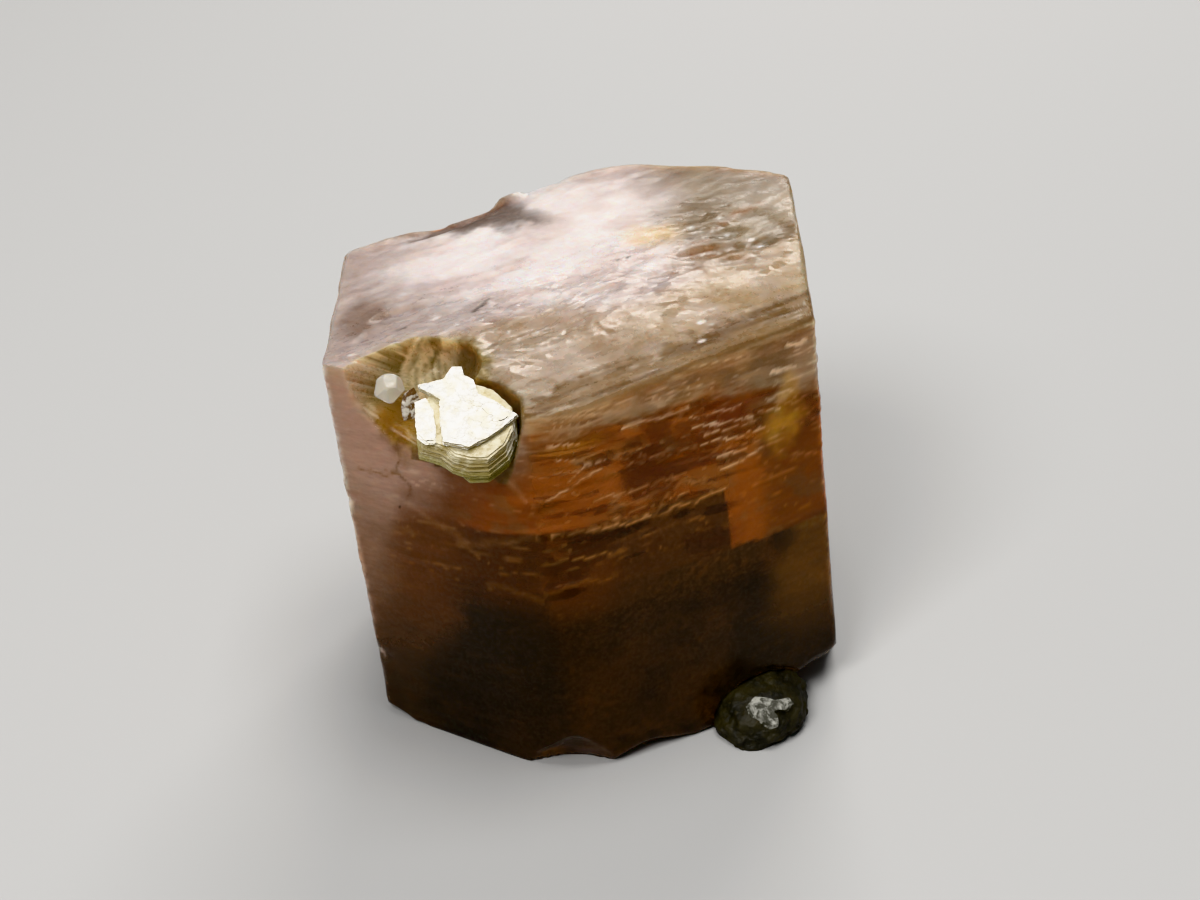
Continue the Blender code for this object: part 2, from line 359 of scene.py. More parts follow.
def crystal_points(columns=470, low_rows=12, rows=130, step=0.15):
    phi = np.linspace(0, 2 * np.pi, 7201)
    r = hull_radius(phi)
    xy = np.stack([r * np.cos(phi), r * np.sin(phi)], 1)
    # points lie closer together on the two front faces
    weight = 1.0 + 0.9 * ramp(-xy[:, 1], 3.0, 5.5)
    seg = np.sqrt((np.diff(xy, axis=0) ** 2).sum(1)) * (weight[1:] + weight[:-1]) / 2
    L = np.concatenate([[0], np.cumsum(seg)])

    def ring(n):
        s = np.linspace(0, L[-1], n, endpoint=False)
        return np.stack([np.interp(s, L, xy[:, 0]), np.interp(s, L, xy[:, 1])], 1), s / L[-1]

    rim, turn = ring(columns)
    foot = -(1.273 + 0.1101 * rim[:, 0]) / 0.9939
    pts, faces, tris = [], [], []
    for k in range(low_rows):
        z = foot + (1.0 - foot) * k / low_rows
        pts.append(np.column_stack([rim, z]))
    k = np.linspace(0, 1, rows)
    for z in 1.0 + (HEIGHT - 1.0) * (k * 1.45 - 0.45 * k * k):
        pts.append(np.column_stack([rim, np.full(columns, z)]))
    total = low_rows + rows
    for r0 in range(total - 1):
        a = r0 * columns + np.arange(columns)
        b = r0 * columns + (np.arange(columns) + 1) % columns
        faces.append(np.stack([a, b, b + columns, a + columns], 1))
    quads = np.concatenate(faces)
    n = total * columns

    def cap(first_ring, place, spacing, flip):
        nonlocal n
        radius = 12.3
        count = int(radius / spacing)
        last, last_turn = first_ring, turn
        for k in range(1, count):
            s = 1 - k / count
            m = max(8, int(columns * s))
            flat_ring, t = ring(m)
            ids = n + np.arange(m)
            pts.append(place(flat_ring * s))
            n += m
            out = []
            ta, tb = np.append(last_turn, 1.0), np.append(t, 1.0)
            stitch(last, ids, ta, tb, out)
            tris.extend([f[::-1] for f in out] if flip else out)
            last, last_turn = ids, t
        pts.append(place(np.zeros((1, 2))))
        for k in range(len(last)):
            f = (last[k], last[(k + 1) % len(last)], n)
            tris.append(f[::-1] if flip else f)
        n += 1

    cap((total - 1) * columns + np.arange(columns), lambda q: np.column_stack([q, np.full(len(q), HEIGHT)]), step, False)
    cap(np.arange(columns), lambda q: np.column_stack([q, -(1.273 + 0.1101 * q[:, 0]) / 0.9939]), step * 2.2, True)
    return np.concatenate(pts), quads, np.array(tris)


def first_exit(centre, points, f, lo=0.66, hi=1.03, steps=13):
    d = points - centre
    t0 = np.full(len(points), lo)
    t1 = np.full(len(points), hi)
    open_ = np.ones(len(points), bool)
    for t in np.linspace(lo, hi, steps)[1:]:
        idx = np.where(open_)[0]
        if not len(idx):
            break
        out = f(centre + d[idx] * t) > 0
        t1[idx[out]] = t
        open_[idx[out]] = False
        t0[idx[~out]] = t
    for _ in range(9):
        m = (t0 + t1) / 2
        out = f(centre + d * m[:, None]) > 0
        t1 = np.where(out, m, t1)
        t0 = np.where(out, t0, m)
    return centre + d * ((t0 + t1) / 2)[:, None]


def vertex_normals(p, quads, tris):
    n = np.zeros_like(p)
    if len(quads):
        q = np.cross(p[quads[:, 2]] - p[quads[:, 0]], p[quads[:, 3]] - p[quads[:, 1]])
        for k in range(4):
            np.add.at(n, quads[:, k], q)
    if len(tris):
        q = np.cross(p[tris[:, 1]] - p[tris[:, 0]], p[tris[:, 2]] - p[tris[:, 0]])
        for k in range(3):
            np.add.at(n, tris[:, k], q)
    return n / np.maximum(np.sqrt((n * n).sum(1)), 1e-12)[:, None]


def crystal_detail(p, n):
    x, y, z = p.T
    w = to_row(p)
    side = ramp(1 - np.abs(n[:, 2]), 0.35, 0.75)
    top = ramp(n[:, 2], 0.80, 0.96)
    base = ramp(-n[:, 2], 0.75, 0.95)
    pocket = 1 - ramp(np.abs(lump(w, POCKET, 0, 0.16, 12)), 0.02, 0.12)
    pocket *= ramp(-lump(w, POCKET, 0.25), -0.05, 0.1)
    seat = 1 - ramp(np.abs(w - BOOK_AT).max(1), 2.4, 2.8)
    # growth lines across the side faces
    front = ramp(-y, -2, 4)
    power = (0.30 + 0.25 * ramp(z, 6.5, 10.5) + 0.20 * front * ramp(z, 11.0, 14.0)) * (1 + 0.6 * ramp(-x, 3, 9))
    power *= (0.75 + 0.6 * perlin(p * (0.16, 0.16, 0.3), 50)) * (1 + 0.7 * ramp(y, 1, 5))
    t = z + 0.09 * (0.866 * x + 0.5 * y) * front
    a = 0.050 * perlin(np.stack([x * 0.10, y * 0.10, t * 1.05], 1), 51)
    a += 0.034 * perlin(np.stack([x * 0.20, y * 0.20, t * 2.3], 1), 52)
    a += 0.016 * perlin(np.stack([x * 0.42, y * 0.42, t * 4.4], 1), 53)
    u = t * 1.15 + 0.9 * perlin(p * (0.07, 0.07, 0.25), 54) + 0.22 * perlin(p * (0.35, 0.35, 0.6), 55)
    fr = u - np.floor(u)
    a += 0.075 * (fr - ramp(fr, 0.84, 1.0)) * ramp(perlin(p * (0.13, 0.13, 0.5), 56), -0.25, 0.35)
    d = side * power * a
    # small ledges that catch the light, most of them in the upper right face; their lips are kept as a mask where
    # highlight is painted
    sr = 0.866 * x + 0.5 * y
    zone = 0.05 + 0.95 * front * ramp(sr, -9.0, -6.0) * ramp(x, -4, -1) * ramp(z, 10.0, 12.0)
    zone += 0.12 * front * ramp(-x, -2, 2) * ramp(z, 6, 9) + 0.30 * ramp(y, 1, 5) * ramp(z, 5.0, 11.0)
    ledge_glint = np.zeros(len(p))
    for k, (freq, amp, cut_at) in enumerate(((0.85, 0.070, 0.16), (1.55, 0.055, 0.14), (2.60, 0.036, 0.10))):
        v = t * freq + 0.45 * perlin(p * (0.14, 0.14, 0.5), 80 + k) + 0.10 * perlin(p * (0.7, 0.7, 1.2), 84 + k)
        fr = v - np.floor(v)
        here = ramp(perlin(np.stack([x * 0.26, y * 0.26, t * 1.6], 1), 88 + k), cut_at, cut_at + 0.22)
        d += side * zone * here * amp * (fr - ramp(fr, 0.86, 1.0))
        ledge_glint = np.maximum(ledge_glint, side * zone * here * np.exp(-(((fr - 0.94) / 0.045) ** 2)))
    # broad unevenness of the faces
    d += side * 0.06 * perlin(p * 0.21, 57)
    # frosted, finely stepped top, rougher in its middle
    uv = np.stack([x * 0.866 + y * 0.5, -x * 0.5 + y * 0.866, z * 0.3], 1)
    F1, F2, off, rnd = cells(uv * (0.75, 1.25, 1.0), 61)
    facet = (off * rnd).sum(1)
    F1b, F2b, offb, rndb = cells(uv * (1.8, 2.9, 1.0), 62)
    facetb = (offb * rndb).sum(1)
    busy = 0.18 + 0.82 * ramp(perlin(uv * (0.22, 0.32, 1) + 3.0, 64) + 0.35 * np.exp(-((x - 1.0) ** 2 + (y + 2.0) ** 2) / 30), -0.05, 0.45)
    busy = np.maximum(busy, 0.75 * np.exp(-((x - 6.8) ** 2 / 9 + (y - 0.3) ** 2 / 7)))
    to_rim = -0.5 * x + 0.866 * y + 9.2
    band = 1 - ramp(to_rim, 1.4, 3.2)
    busy *= 1 - 0.8 * band
    along = 0.866 * x + 0.5 * y
    rim = 1 - ramp(to_rim, 0.5, 1.5)
    d += top * (0.3 * band + 0.7 * rim) * 0.032 * perlin(np.stack([along * 0.25, to_rim * 2.0, 0 * x], 1), 92)
    d += top * (0.2 * band + 0.8 * rim) * 0.018 * perlin(np.stack([along * 0.5, to_rim * 4.6, 0 * x], 1), 93)
    calm = 1 - 0.80 * ramp(uv[:, 1], -1.0, 4.0) - 0.35 * ramp(-x, 4.0, 8.0) * ramp(-uv[:, 1], -1.0, 2.0)
    calm = np.clip(calm, 0.12, 1)
    d += top * busy * calm * (0.042 * facet + 0.017 * facetb + 0.010 * perlin(uv * (2.6, 3.2, 1), 63))
    # streaked pocket
    s = np.stack([w[:, 0] * 0.3 + w[:, 2] * 1.1 + w[:, 1] * 0.5, w[:, 0] * 3.0 - w[:, 2] * 2.4, w[:, 1] * 2.2], 1)
    d += pocket * (0.065 * perlin(s * 0.6, 65) + 0.04 * perlin(s * 1.4, 66))
    # rough broken base
    F1c, F2c, offc, rndc = cells(w * 0.5, 67)
    base_d = -np.abs(0.25 * (offc * rndc).sum(1) + 0.06 * perlin(w * 1.3, 68)) * base
    d += base_d * ramp(w[:, 2], 0.0, 0.25)
    d *= 1 - 0.85 * seat
    q = p + n * d[:, None]
    # nicks on the near upright edge
    for (cx, cy, cz), (a1, b1), depth in [
        ((-2.36, -12.6, 14.1), (1.5, 0.42), 0.20),
        ((-1.70, -12.2, 9.3), (1.4, 0.38), 0.18),
        ((-2.2, -12.6, 12.5), (1.9, 0.30), 0.12),
        ((-3.3, -12.6, 16.2), (1.2, 0.30), 0.12),
        ((-11.9, -7.3, 12.4), (0.9, 0.25), 0.22),
        ((-11.6, -7.5, 3.6), (0.9, 0.40), 0.25),
    ]:
        e = (p - (cx, cy, cz)) / (a1, a1, b1)
        q[:, 1] += depth * np.exp(-(e * e).sum(1) * 1.6)
    # nothing below the surface it stands on
    wq = to_row(q)
    wq[:, 2] = np.maximum(wq[:, 2], 0.0)
    return wq, np.clip(ledge_glint, 0, 1)


FRONT = {
    "right": (np.array([0.5, -0.866, 0]), np.array([0.866, 0.5, 0]), 9.95),
    "left": (np.array([-0.5, -0.866, 0]), np.array([0.866, -0.5, 0]), 12.40),
}


def face_place(face, s, z, depth=0.0):
    """A point on one of the two front faces, or under it, in crystal millimetres."""
    n, t, d = FRONT[face]
    return n * (d - depth) + t * s + np.array([0, 0, z])


def blend(a, b, t):
    t = np.asarray(t, float)[..., None]
    return np.asarray(a) * (1 - t) + np.asarray(b) * t


def spot(p, centre, radii, lo, hi):
    return 1 - ramp(np.sqrt((((p - np.asarray(centre)) / radii) ** 2).sum(1)), lo, hi)


def stroke(p, points, inner, outer):
    """1 along a line through the points, falling to 0 beside it."""
    lo, hi = np.min(points, 0) - outer - 0.6, np.max(points, 0) + outer + 0.6
    out = np.zeros(len(p))
    idx = np.where(((p > lo) & (p < hi)).all(1))[0]
    if not len(idx):
        return out
    q = p[idx]
    d = np.full(len(q), 1e9)
    for a, b in zip(points, points[1:]):
        a, b = np.array(a), np.array(b)
        ab = b - a
        h = np.clip(((q - a) @ ab) / (ab @ ab), 0, 1)
        d = np.minimum(d, np.sqrt(((q - a - h[:, None] * ab) ** 2).sum(1)))
    out[idx] = 1 - ramp(d, inner, outer)
    return out


def onto_faces(p, n, q):
    """Moves places q onto the two flat front faces where the surface at p belongs to one."""
    q = q.copy()
    for face in ("right", "left"):
        k, _, d = FRONT[face]
        on = (n @ k > 0.75) & (np.abs(p @ k - d) < 1.0)
        q[on] -= (q[on] @ k - d)[:, None] * k
    return q


def R(*places):
    return [face_place("right", s, z) for s, z in places]


def Lf(*places):
    return [face_place("left", s, z) for s, z in places]


def crystal_look(p, n, ledge_glint):
    """Colour of the crystal at each place on its surface, its finish (clearness, roughness, sparkle, shine), and fine relief."""
    x, y, z = p.T
    nx, ny, nz = n.T
    drift = np.stack([fbm(p * 0.22 + k * 17.3, 3, 130 + k, 0.55) for k in range(3)], 1)
    q = p + drift * (1.2, 1.2, 0.9)
    qx, qy, qz = q.T
    shake = np.stack([fbm(p * 0.9 + k * 11.7, 3, 134 + k, 0.6) for k in range(3)], 1)
    j = onto_faces(p, n, p + shake * 0.22)
    sr0, sr = 0.866 * x + 0.5 * y, 0.866 * qx + 0.5 * qy
    sl0, sl = 0.866 * x - 0.5 * y, 0.866 * qx - 0.5 * qy
    t = z + 0.085 * sr0
    bands = fbm(np.stack([x * 0.28, y * 0.28, t * 1.05], 1), 4, 140, 0.55)
    lines = fbm(np.stack([x * 0.55, y * 0.55, t * 3.6], 1), 3, 145, 0.6)
    cloud = fbm(p * 0.42, 3, 150, 0.55)
    grain = fbm(p * 2.4, 2, 155, 0.6)

    beige, brown_beige = (0.56, 0.40, 0.24), (0.42, 0.27, 0.145)
    chestnut, amber = (0.42, 0.105, 0.012), (0.50, 0.135, 0.005)
    umber, smoky_shade = (0.034, 0.012, 0.003), (0.007, 0.004, 0.002)
    mauve, tan = (0.86, 0.60, 0.47), (0.54, 0.33, 0.22)

    # right side: beige above, chestnut and amber under it, then dark. This is partly the crystal's own colour zoning
    # and partly painted light: the beige and amber stand in part for light coming in through the top and back, and the
    # dark lower part is painted shade
    h = t + bands * 1.1
    c = blend(chestnut, amber, ramp(sr, -1.0, 4.5))
    c = blend(c, brown_beige, 0.45 * ramp(cloud + 0.6 * bands, 0.12, 0.50))
    above = h - (16.85 - 1.5 * ramp(sr, -1.5, 6.5) - 0.9 * cloud * ramp(sr0, 6.4, 8.0))
    in_beige = ramp(above, -0.45, 0.45)
    c = blend(c, blend(brown_beige, beige, ramp(lines + 0.5 * bands, -0.35, 0.35)), in_beige)
    # painted shade: a darker band under the amber, ending in a straight upright edge, for shade seen through the
    # crystal
    low = 11.75 - 3.75 * ramp(sr0, 1.08, 1.30) + 0.14 * np.maximum(0, sr0 - 1.3)
    width = 1 + 3.5 * ramp(sr0, 1.5, 4.5)
    below = ramp((low - (t + 0.30 * bands)) / width, -0.10, 0.18)
    c = blend(c, blend((0.12, 0.034, 0.005), umber, ramp(sr, -6.5, -3.6)), below)
    # painted shade: the darkest lower part, for the shaded base seen through the crystal
    deep = blend(smoky_shade, (0.014, 0.007, 0.003), ramp(cloud, -0.15, 0.30))
    deep = blend(deep, (0.28, 0.120, 0.020), ramp(sr, 2.6, 5.0) * ramp(t, 0.5, 5.5))
    edge = 0.10 + 1.6 * ramp(-sr0, 2.5, 5.5) + 1.9 * ramp(sr0, 6.4, 8.0)
    in_deep = ramp((8.15 + 0.05 * sr0 - t - 0.35 * bands * (1 + edge)) / edge, -0.8, 0.9)
    c = blend(c, deep, in_deep)
    # left side: mauve above and at the far edge, brown towards the near edge and down; the darkening down low is
    # painted shade
    m = (qz - 12.0) * 0.32 - sl
    lc = blend((0.22, 0.070, 0.014), tan, ramp(m, 2.4, 5.4))
    lc = blend(lc, mauve, ramp(qz + bands + 1.1 * np.clip(m - 3.8, -3.0, 0.5), 10.0, 16.0))
    lc = blend(lc, (0.085, 0.045, 0.022), ramp(-(qz + 1.2 * bands), -9.5, -2.5))
    lc = blend(lc, c, ramp(-m, -1.6, 1.2) * ramp(-qz, -16.2, -14.2))
    turn = ramp(0.9 * nx - 0.12 * ny, -0.32, 0.28)
    col = blend(lc, c, turn)
    col = col * (1 + 0.12 * np.clip(lines, -0.8, 0.8))[:, None]
    clear = 0.58 + 0.28 * turn
    clear -= 0.44 * turn * in_beige
    clear += in_deep * turn * (0.06 - 0.30 * ramp(sr, 2.6, 5.0) * ramp(t, -1.0, 5.0))
    clear -= 0.30 * in_deep * turn * ramp(-z, -7.0, -3.0) * ramp(sr0, -2.0, 1.0) * (1 - ramp(sr, 2.6, 5.0))
    glow = turn * ramp(sr0, 1.1, 1.7) * ramp(t, 7.4, 8.8) * ramp(-t, -14.5, -12.0)
    clear -= 0.20 * glow
    clear -= 0.24 * ramp(-nx, 0.70, 0.95) * ramp(z + 2 * cloud, 5.0, 12.0)
    foot = ramp(-(z + 0.6 * cloud), -7.0, -1.0)
    clear += 0.20 * foot * (1 - turn)

    # patches of colour seen through the right face: dark red, bright yellow with a streak, orange and pale beige
    a = spot(p + shake * 0.7, face_place("right", 1.6, 15.5), (1.9, 1.9, 1.35), 0.1, 1.15)
    col = blend(col, (0.46, 0.085, 0.006), 0.9 * a)
    clear -= 0.10 * a
    a = spot(p + shake * 0.6, face_place("right", 4.7, 13.7), (1.6, 1.7, 1.35), 0.0, 1.15)
    a = np.maximum(a, 0.5 * stroke(onto_faces(p, n, p + shake * 0.5), R((5.2, 15.8), (5.0, 14.4), (4.4, 12.7)), 0.05, 0.85))
    col = blend(col, (1.0, 0.56, 0.10), 0.8 * a)
    clear -= 0.40 * a
    a = spot(j, face_place("right", -6.2, 16.6), (2.4, 2.0, 0.5), 0.3, 1.1)
    col = blend(col, (0.60, 0.28, 0.04), 0.6 * a)
    a = spot(j, face_place("right", 6.2, 16.2), (1.2, 1.2, 2.0), 0.3, 1.1)
    col = blend(col, (0.62, 0.42, 0.26), 0.65 * a)
    clear -= 0.15 * a

    # threads: thin pale lines that run with the growth lines
    thread = np.zeros(len(p))
    for k, (f, width) in enumerate(((0.9, 0.040), (1.7, 0.050), (3.0, 0.070))):
        v = perlin(np.stack([x * 0.11 * f, y * 0.11 * f, t * f * 1.15], 1) + 3.3 * k, 160 + k)
        here = ramp(perlin(np.stack([x * 0.30, y * 0.30, t * 0.9], 1) + 9.1 * k, 164 + k), 0.05, 0.35)
        thread = np.maximum(thread, here * (1 - ramp(np.abs(v), 0.012, width)))
    thread *= (0.15 + 0.85 * np.maximum(np.maximum(turn, 0.55 * ramp(-m, -4.6, -2.4)), 0.75 * ramp(ny, 0.10, 0.45))) * (0.15 + 0.85 * ramp(z, 7.0, 10.5)) * ramp(-z, -19.2, -18.2)
    # cracks and bright streaks on the two front faces: the cracks are the crystal's own, the bright streaks are painted
    # highlight where light catches small steps
    marks = [
        (R((-8.6, 12.25), (-7.2, 12.3), (-5.4, 11.9), (-3.3, 11.65), (1.1, 11.5)), 0.02, 0.13, 0.75),
        (R((-8.2, 14.1), (-7.1, 14.5), (-5.2, 15.0)), 0.02, 0.13, 0.7),
        (R((-8.4, 9.4), (-7.0, 9.5), (-5.0, 9.3)), 0.02, 0.14, 0.35),
        (Lf((-2.9, 13.2), (-1.4, 12.3), (0.2, 11.5), (2.0, 12.0), (4.2, 12.5)), 0.0, 0.30, 0.15),
        (Lf((2.9, 15.3), (3.5, 14.3), (4.4, 14.0)), 0.0, 0.22, 0.30),
        (Lf((1.0, 9.6), (3.5, 8.8), (4.6, 9.3)), 0.0, 0.30, 0.14),
        (R((-0.2, 15.33), (0.6, 15.1), (1.7, 14.95), (3.1, 14.6)), 0.03, 0.12, 0.9),
        (R((0.2, 14.3), (1.9, 13.9), (3.6, 13.8)), 0.03, 0.12, 0.9),
        (R((0.9, 13.2), (2.1, 13.15), (2.7, 13.25)), 0.03, 0.13, 1.0),
        (R((1.0, 12.6), (2.7, 12.6), (3.4, 12.8)), 0.03, 0.13, 1.0),
        (R((-3.7, 16.6), (-1.7, 16.5), (-0.4, 16.4)), 0.03, 0.16, 0.9),
        (R((-7.5, 17.0), (-6.0, 16.7)), 0.03, 0.10, 0.7),
        (R((-7.4, 15.6), (-5.6, 15.3)), 0.02, 0.09, 0.6),
        (R((-7.2, 16.2), (-6.2, 16.0)), 0.02, 0.09, 0.6),
        (R((4.3, 16.6), (5.6, 16.4)), 0.03, 0.15, 0.8),
        (R((5.2, 17.6), (6.2, 17.5)), 0.03, 0.15, 0.8),
        (R((3.9, 15.3), (5.2, 15.2)), 0.03, 0.12, 0.7),
        (R((-5.6, 13.6), (-2.9, 13.2), (-1.5, 13.1)), 0.02, 0.10, 0.6),
        (R((-4.6, 12.9), (-2.6, 12.6)), 0.02, 0.09, 0.5),
        (R((-1.0, 12.6), (0.4, 12.3)), 0.02, 0.09, 0.5),
        (R((5.0, 11.6), (6.4, 11.4)), 0.02, 0.10, 0.4),
        (R((-0.4, 15.9), (1.2, 15.6), (2.4, 15.55)), 0.02, 0.10, 0.7),
        (R((0.4, 14.75), (1.6, 14.5), (3.2, 14.35)), 0.02, 0.11, 0.8),
        (R((-2.6, 14.6), (-1.2, 14.35), (0.0, 14.4)), 0.02, 0.09, 0.5),
        (R((3.4, 14.9), (4.4, 14.4)), 0.02, 0.10, 0.6),
        (R((-6.8, 14.9), (-5.9, 15.5), (-5.0, 15.4)), 0.02, 0.09, 0.7),
        (R((-7.8, 11.2), (-6.4, 10.7), (-4.6, 10.5)), 0.02, 0.10, 0.6),
        (R((-5.2, 12.2), (-3.6, 12.25), (-2.2, 12.1), (-0.8, 12.2)), 0.02, 0.10, 0.7),
    ]
    crack_and_glint_streak = np.zeros(len(p))
    for points, inner, outer, power in marks:
        crack_and_glint_streak = np.maximum(crack_and_glint_streak, power * stroke(j, points, inner, outer * 1.1))
    broken = ramp(perlin(p * (0.9, 0.9, 1.2), 168), -0.35, 0.15)
    crack_and_glint_streak *= 0.58 + 0.38 * broken
    # pale over the threads, the cracks and streaks, and the ledge lips; on the streaks and ledge lips this is painted
    # highlight
    pale = blend((0.95, 0.46, 0.14), (1.0, 0.80, 0.55), ramp(z, 9.0, 16.0))
    line = np.clip(np.maximum(np.maximum(0.34 * thread, crack_and_glint_streak), 0.32 * ledge_glint), 0, 1)
    col = blend(col, pale, 0.90 * line)
    clear -= 0.72 * line

    # far sides are clearer and let the light in
    rear = ramp(ny, 0.10, 0.45)
    rc = blend((0.60, 0.34, 0.15), (0.88, 0.70, 0.54), ramp(qz + bands, 3.0, 15.0))
    rc = blend(rc, (0.60, 0.26, 0.08), 0.6 * ramp(cloud, 0.05, 0.50))
    # pale on the threads, and painted highlight on the ledge lips
    rc = blend(rc * (1 + 0.18 * lines)[:, None], (0.92, 0.74, 0.58), 0.7 * np.clip(thread + ledge_glint, 0, 1))
    col = blend(col, rc, rear)
    milky = ramp(z + 1.5 * cloud + 1.2 * lines, 13.2, 17.5)
    col = blend(col, blend((0.74, 0.53, 0.43), (0.88, 0.70, 0.62), ramp(lines + cloud, -0.4, 0.4)), rear * milky)
    clear = clear * (1 - rear) + rear * (0.90 - 0.25 * ledge_glint - 0.42 * milky)
    rough = 0.10 + 0.08 * ramp(lines, -0.4, 0.4)

    # upright edges lightened: wear, and a painted highlight along them
    g = np.sort(np.stack([p @ flat(a) - d for a, d in SIDES.items()], 0), 0)
    edge_wear_and_highlight = ramp(g[-2], -0.34, -0.06) * ramp(grain, -0.5, 0.3)
    col = blend(col, np.minimum(col * 1.9 + 0.03, 1.0), 0.55 * edge_wear_and_highlight)
    clear -= 0.22 * edge_wear_and_highlight

    # top
    high = ramp(nz, 0.62, 0.90)
    behind = -0.5 * qx + 0.866 * qy
    far = behind - (-2.6 - 2.3 * ramp(qx, -2.5, 2.0))
    level = ramp(far, -0.9, 1.0)
    up = high * level
    u = x * 0.866 + y * 0.5
    v = -x * 0.5 + y * 0.866
    soft = fbm(np.stack([u * 0.22, v * 0.32, 0 * u], 1), 4, 170, 0.6)
    ripple = fbm(np.stack([u * 0.8, v * 2.6, 0 * u], 1), 3, 174, 0.6)
    crown = blend((0.72, 0.60, 0.565), (0.95, 0.865, 0.845), ramp(soft, -0.35, 0.35))
    middle = spot(q, (-1.8, 3.4, 20.0), (9.0, 8.2, 30.0), 0.50, 1.08)
    crown = blend(blend(crown, (0.31, 0.228, 0.198), 0.66), crown, middle)
    crown = crown * (1 + 0.05 * ripple)[:, None]
    olive = blend((0.185, 0.125, 0.060), (0.27, 0.195, 0.105), ramp(soft + 0.6 * cloud, -0.3, 0.4))
    crown = blend(crown, olive, 0.92 * ramp(qx + 0.10 * qy, 2.8, 7.8))
    # painted shade: a darker brown band along the back-left rim, on the bevel that faces away from the light
    brown = ramp(v + 0.9 * shake[:, 0] - 8.2 + 0.55 * (u + 3.0), -1.0, 0.7) * ramp(u, -6.4, -4.6) * ramp(-u, -2.6, -0.8)
    crown = blend(crown, (0.095, 0.058, 0.040), 0.92 * brown)
    # patches on the top; the two brown ones in the shell-shaped breaks on the right are rust with painted shade in the
    # hollows
    for centre, radii, lo, hi, amount, colour in [
        ((3.6, 3.0, 20.0), (2.1, 1.8, 9), 0.2, 1.1, 0.60, (0.92, 0.66, 0.32)),
        ((-10.3, -3.2, 20.0), (1.9, 2.6, 9), 0.3, 1.05, 0.80, (0.20, 0.120, 0.080)),
        ((-7.5, 7.1, 20.0), (0.5, 0.40, 9), 0.3, 1.0, 0.80, (0.60, 0.20, 0.06)),
        ((6.4, 0.1, 20.0), (2.8, 1.4, 9), 0.1, 1.1, 0.65, (0.27, 0.145, 0.055)),
        ((4.9, -1.5, 20.0), (1.8, 0.9, 9), 0.1, 1.1, 0.40, (0.40, 0.27, 0.16)),
        ((-6.8, -0.2, 20.0), (2.6, 0.9, 9), 0.2, 1.1, 0.35, (0.50, 0.38, 0.40)),
    ]:
        crown = blend(crown, colour, amount * spot(p + shake * 0.5, centre, radii, lo, hi))
    for a, b in (((-4.84, -3.78), (-4.25, -2.55)), ((-8.6, -4.7), (-8.1, -4.55)), ((1.9, 0.2), (2.6, 0.45)), ((9.6, -3.6), (10.2, -3.3))):
        crown = blend(crown, (0.05, 0.04, 0.03), 0.85 * stroke(j * (1, 1, 0), [(*a, 0), (*b, 0)], 0.02, 0.13))
    # rust along fine breaks on the right
    for points in (((4.6, 0.1), (5.6, 0.35), (6.6, 0.7)), ((6.5, 0.0), (7.3, -0.15), (7.9, -0.5)), ((4.4, -1.5), (5.2, -1.35), (6.0, -1.35)),
                   ((6.6, 3.0), (7.6, 3.9), (9.2, 5.0)), ((5.2, 1.2), (6.2, 1.5)), ((7.7, -2.7), (8.6, -2.3))):
        a = stroke(p * (1, 1, 0) + shake * 0.35, [(*k, 0) for k in points], 0.02, 0.42)
        crown = blend(crown, (0.27, 0.115, 0.035), 0.85 * a * ramp(grain, -0.5, 0.3))
    # painted glints: white specks for cleavage facets turned to the light
    F1, F2, off, pick = cells(np.stack([u * 0.9, v * 2.1, 0 * u], 1), 190)
    lively = ramp(perlin(np.stack([u * 0.22, v * 0.32, 0 * u], 1) + 3.0, 64), 0.0, 0.35)
    lively = np.maximum(lively, spot(p, (7.2, 1.6, 20.0), (3.2, 2.4, 9), 0.3, 1.1))
    lively = np.maximum(lively, spot(p, (1.5, -4.5, 20.0), (6.5, 1.9, 9), 0.3, 1.1)) * ramp(-v, -4.5, -2.0)
    glint = ramp(pick[:, 0], 0.64, 0.72) * (1 - ramp(F1, 0.16, 0.30)) * lively
    for gx, gy in ((7.4, 2.5), (8.5, 1.3), (8.9, 0.65), (2.9, -4.0), (3.4, -3.6), (5.6, 3.2), (-10.4, -6.8), (-10.9, -8.3)):
        glint = np.maximum(glint, spot(p + shake * 0.2, (gx, gy, 20.0), (0.24, 0.12, 9), 0.2, 1.1))
    # finer painted glints, scattered over the front of the top
    F1, F2, off, pick = cells(np.stack([u * 1.5, v * 3.2, 0 * u], 1), 191)
    strewn = spot(q, (-2.2, -3.6, 20.0), (9.5, 4.6, 30), 0.30, 1.1)
    glint = np.maximum(glint, 0.9 * ramp(pick[:, 0], 0.50, 0.60) * (1 - ramp(F1, 0.10, 0.28)) * strewn * ramp(cloud + 0.5 * soft, -0.25, 0.15))
    crown = blend(crown, (0.97, 0.955, 0.93), 0.9 * glint)
    col = blend(col, crown, up)
    to_rim = v + 9.2
    rim_lines = fbm(np.stack([u * 0.20, to_rim * 2.1, z * 2.6], 1), 3, 178, 0.6)
    rim_lines = rim_lines * (0.25 + 0.75 * ramp(-z, -19.5, -19.0)) + 0.5 * cloud * ramp(z, 19.0, 19.5)
    lobe = blend((0.50, 0.36, 0.245), (0.70, 0.555, 0.42), ramp(rim_lines, -0.4, 0.4))
    lobe = blend(lobe, (0.58, 0.41, 0.215), 0.7 * ramp(qx, -1.0, 7.0))
    lobe = blend(lobe, (0.66, 0.53, 0.45), 0.45 * ramp(cloud, -0.05, 0.4))
    # darker beige below the rim of the lobe
    band = blend((0.23, 0.135, 0.060), (0.40, 0.26, 0.13), ramp(rim_lines, -0.4, 0.4))
    lobe = blend(lobe, band, 0.9 * ramp(-(z + 0.25 * shake[:, 1]), -19.12, -18.88))
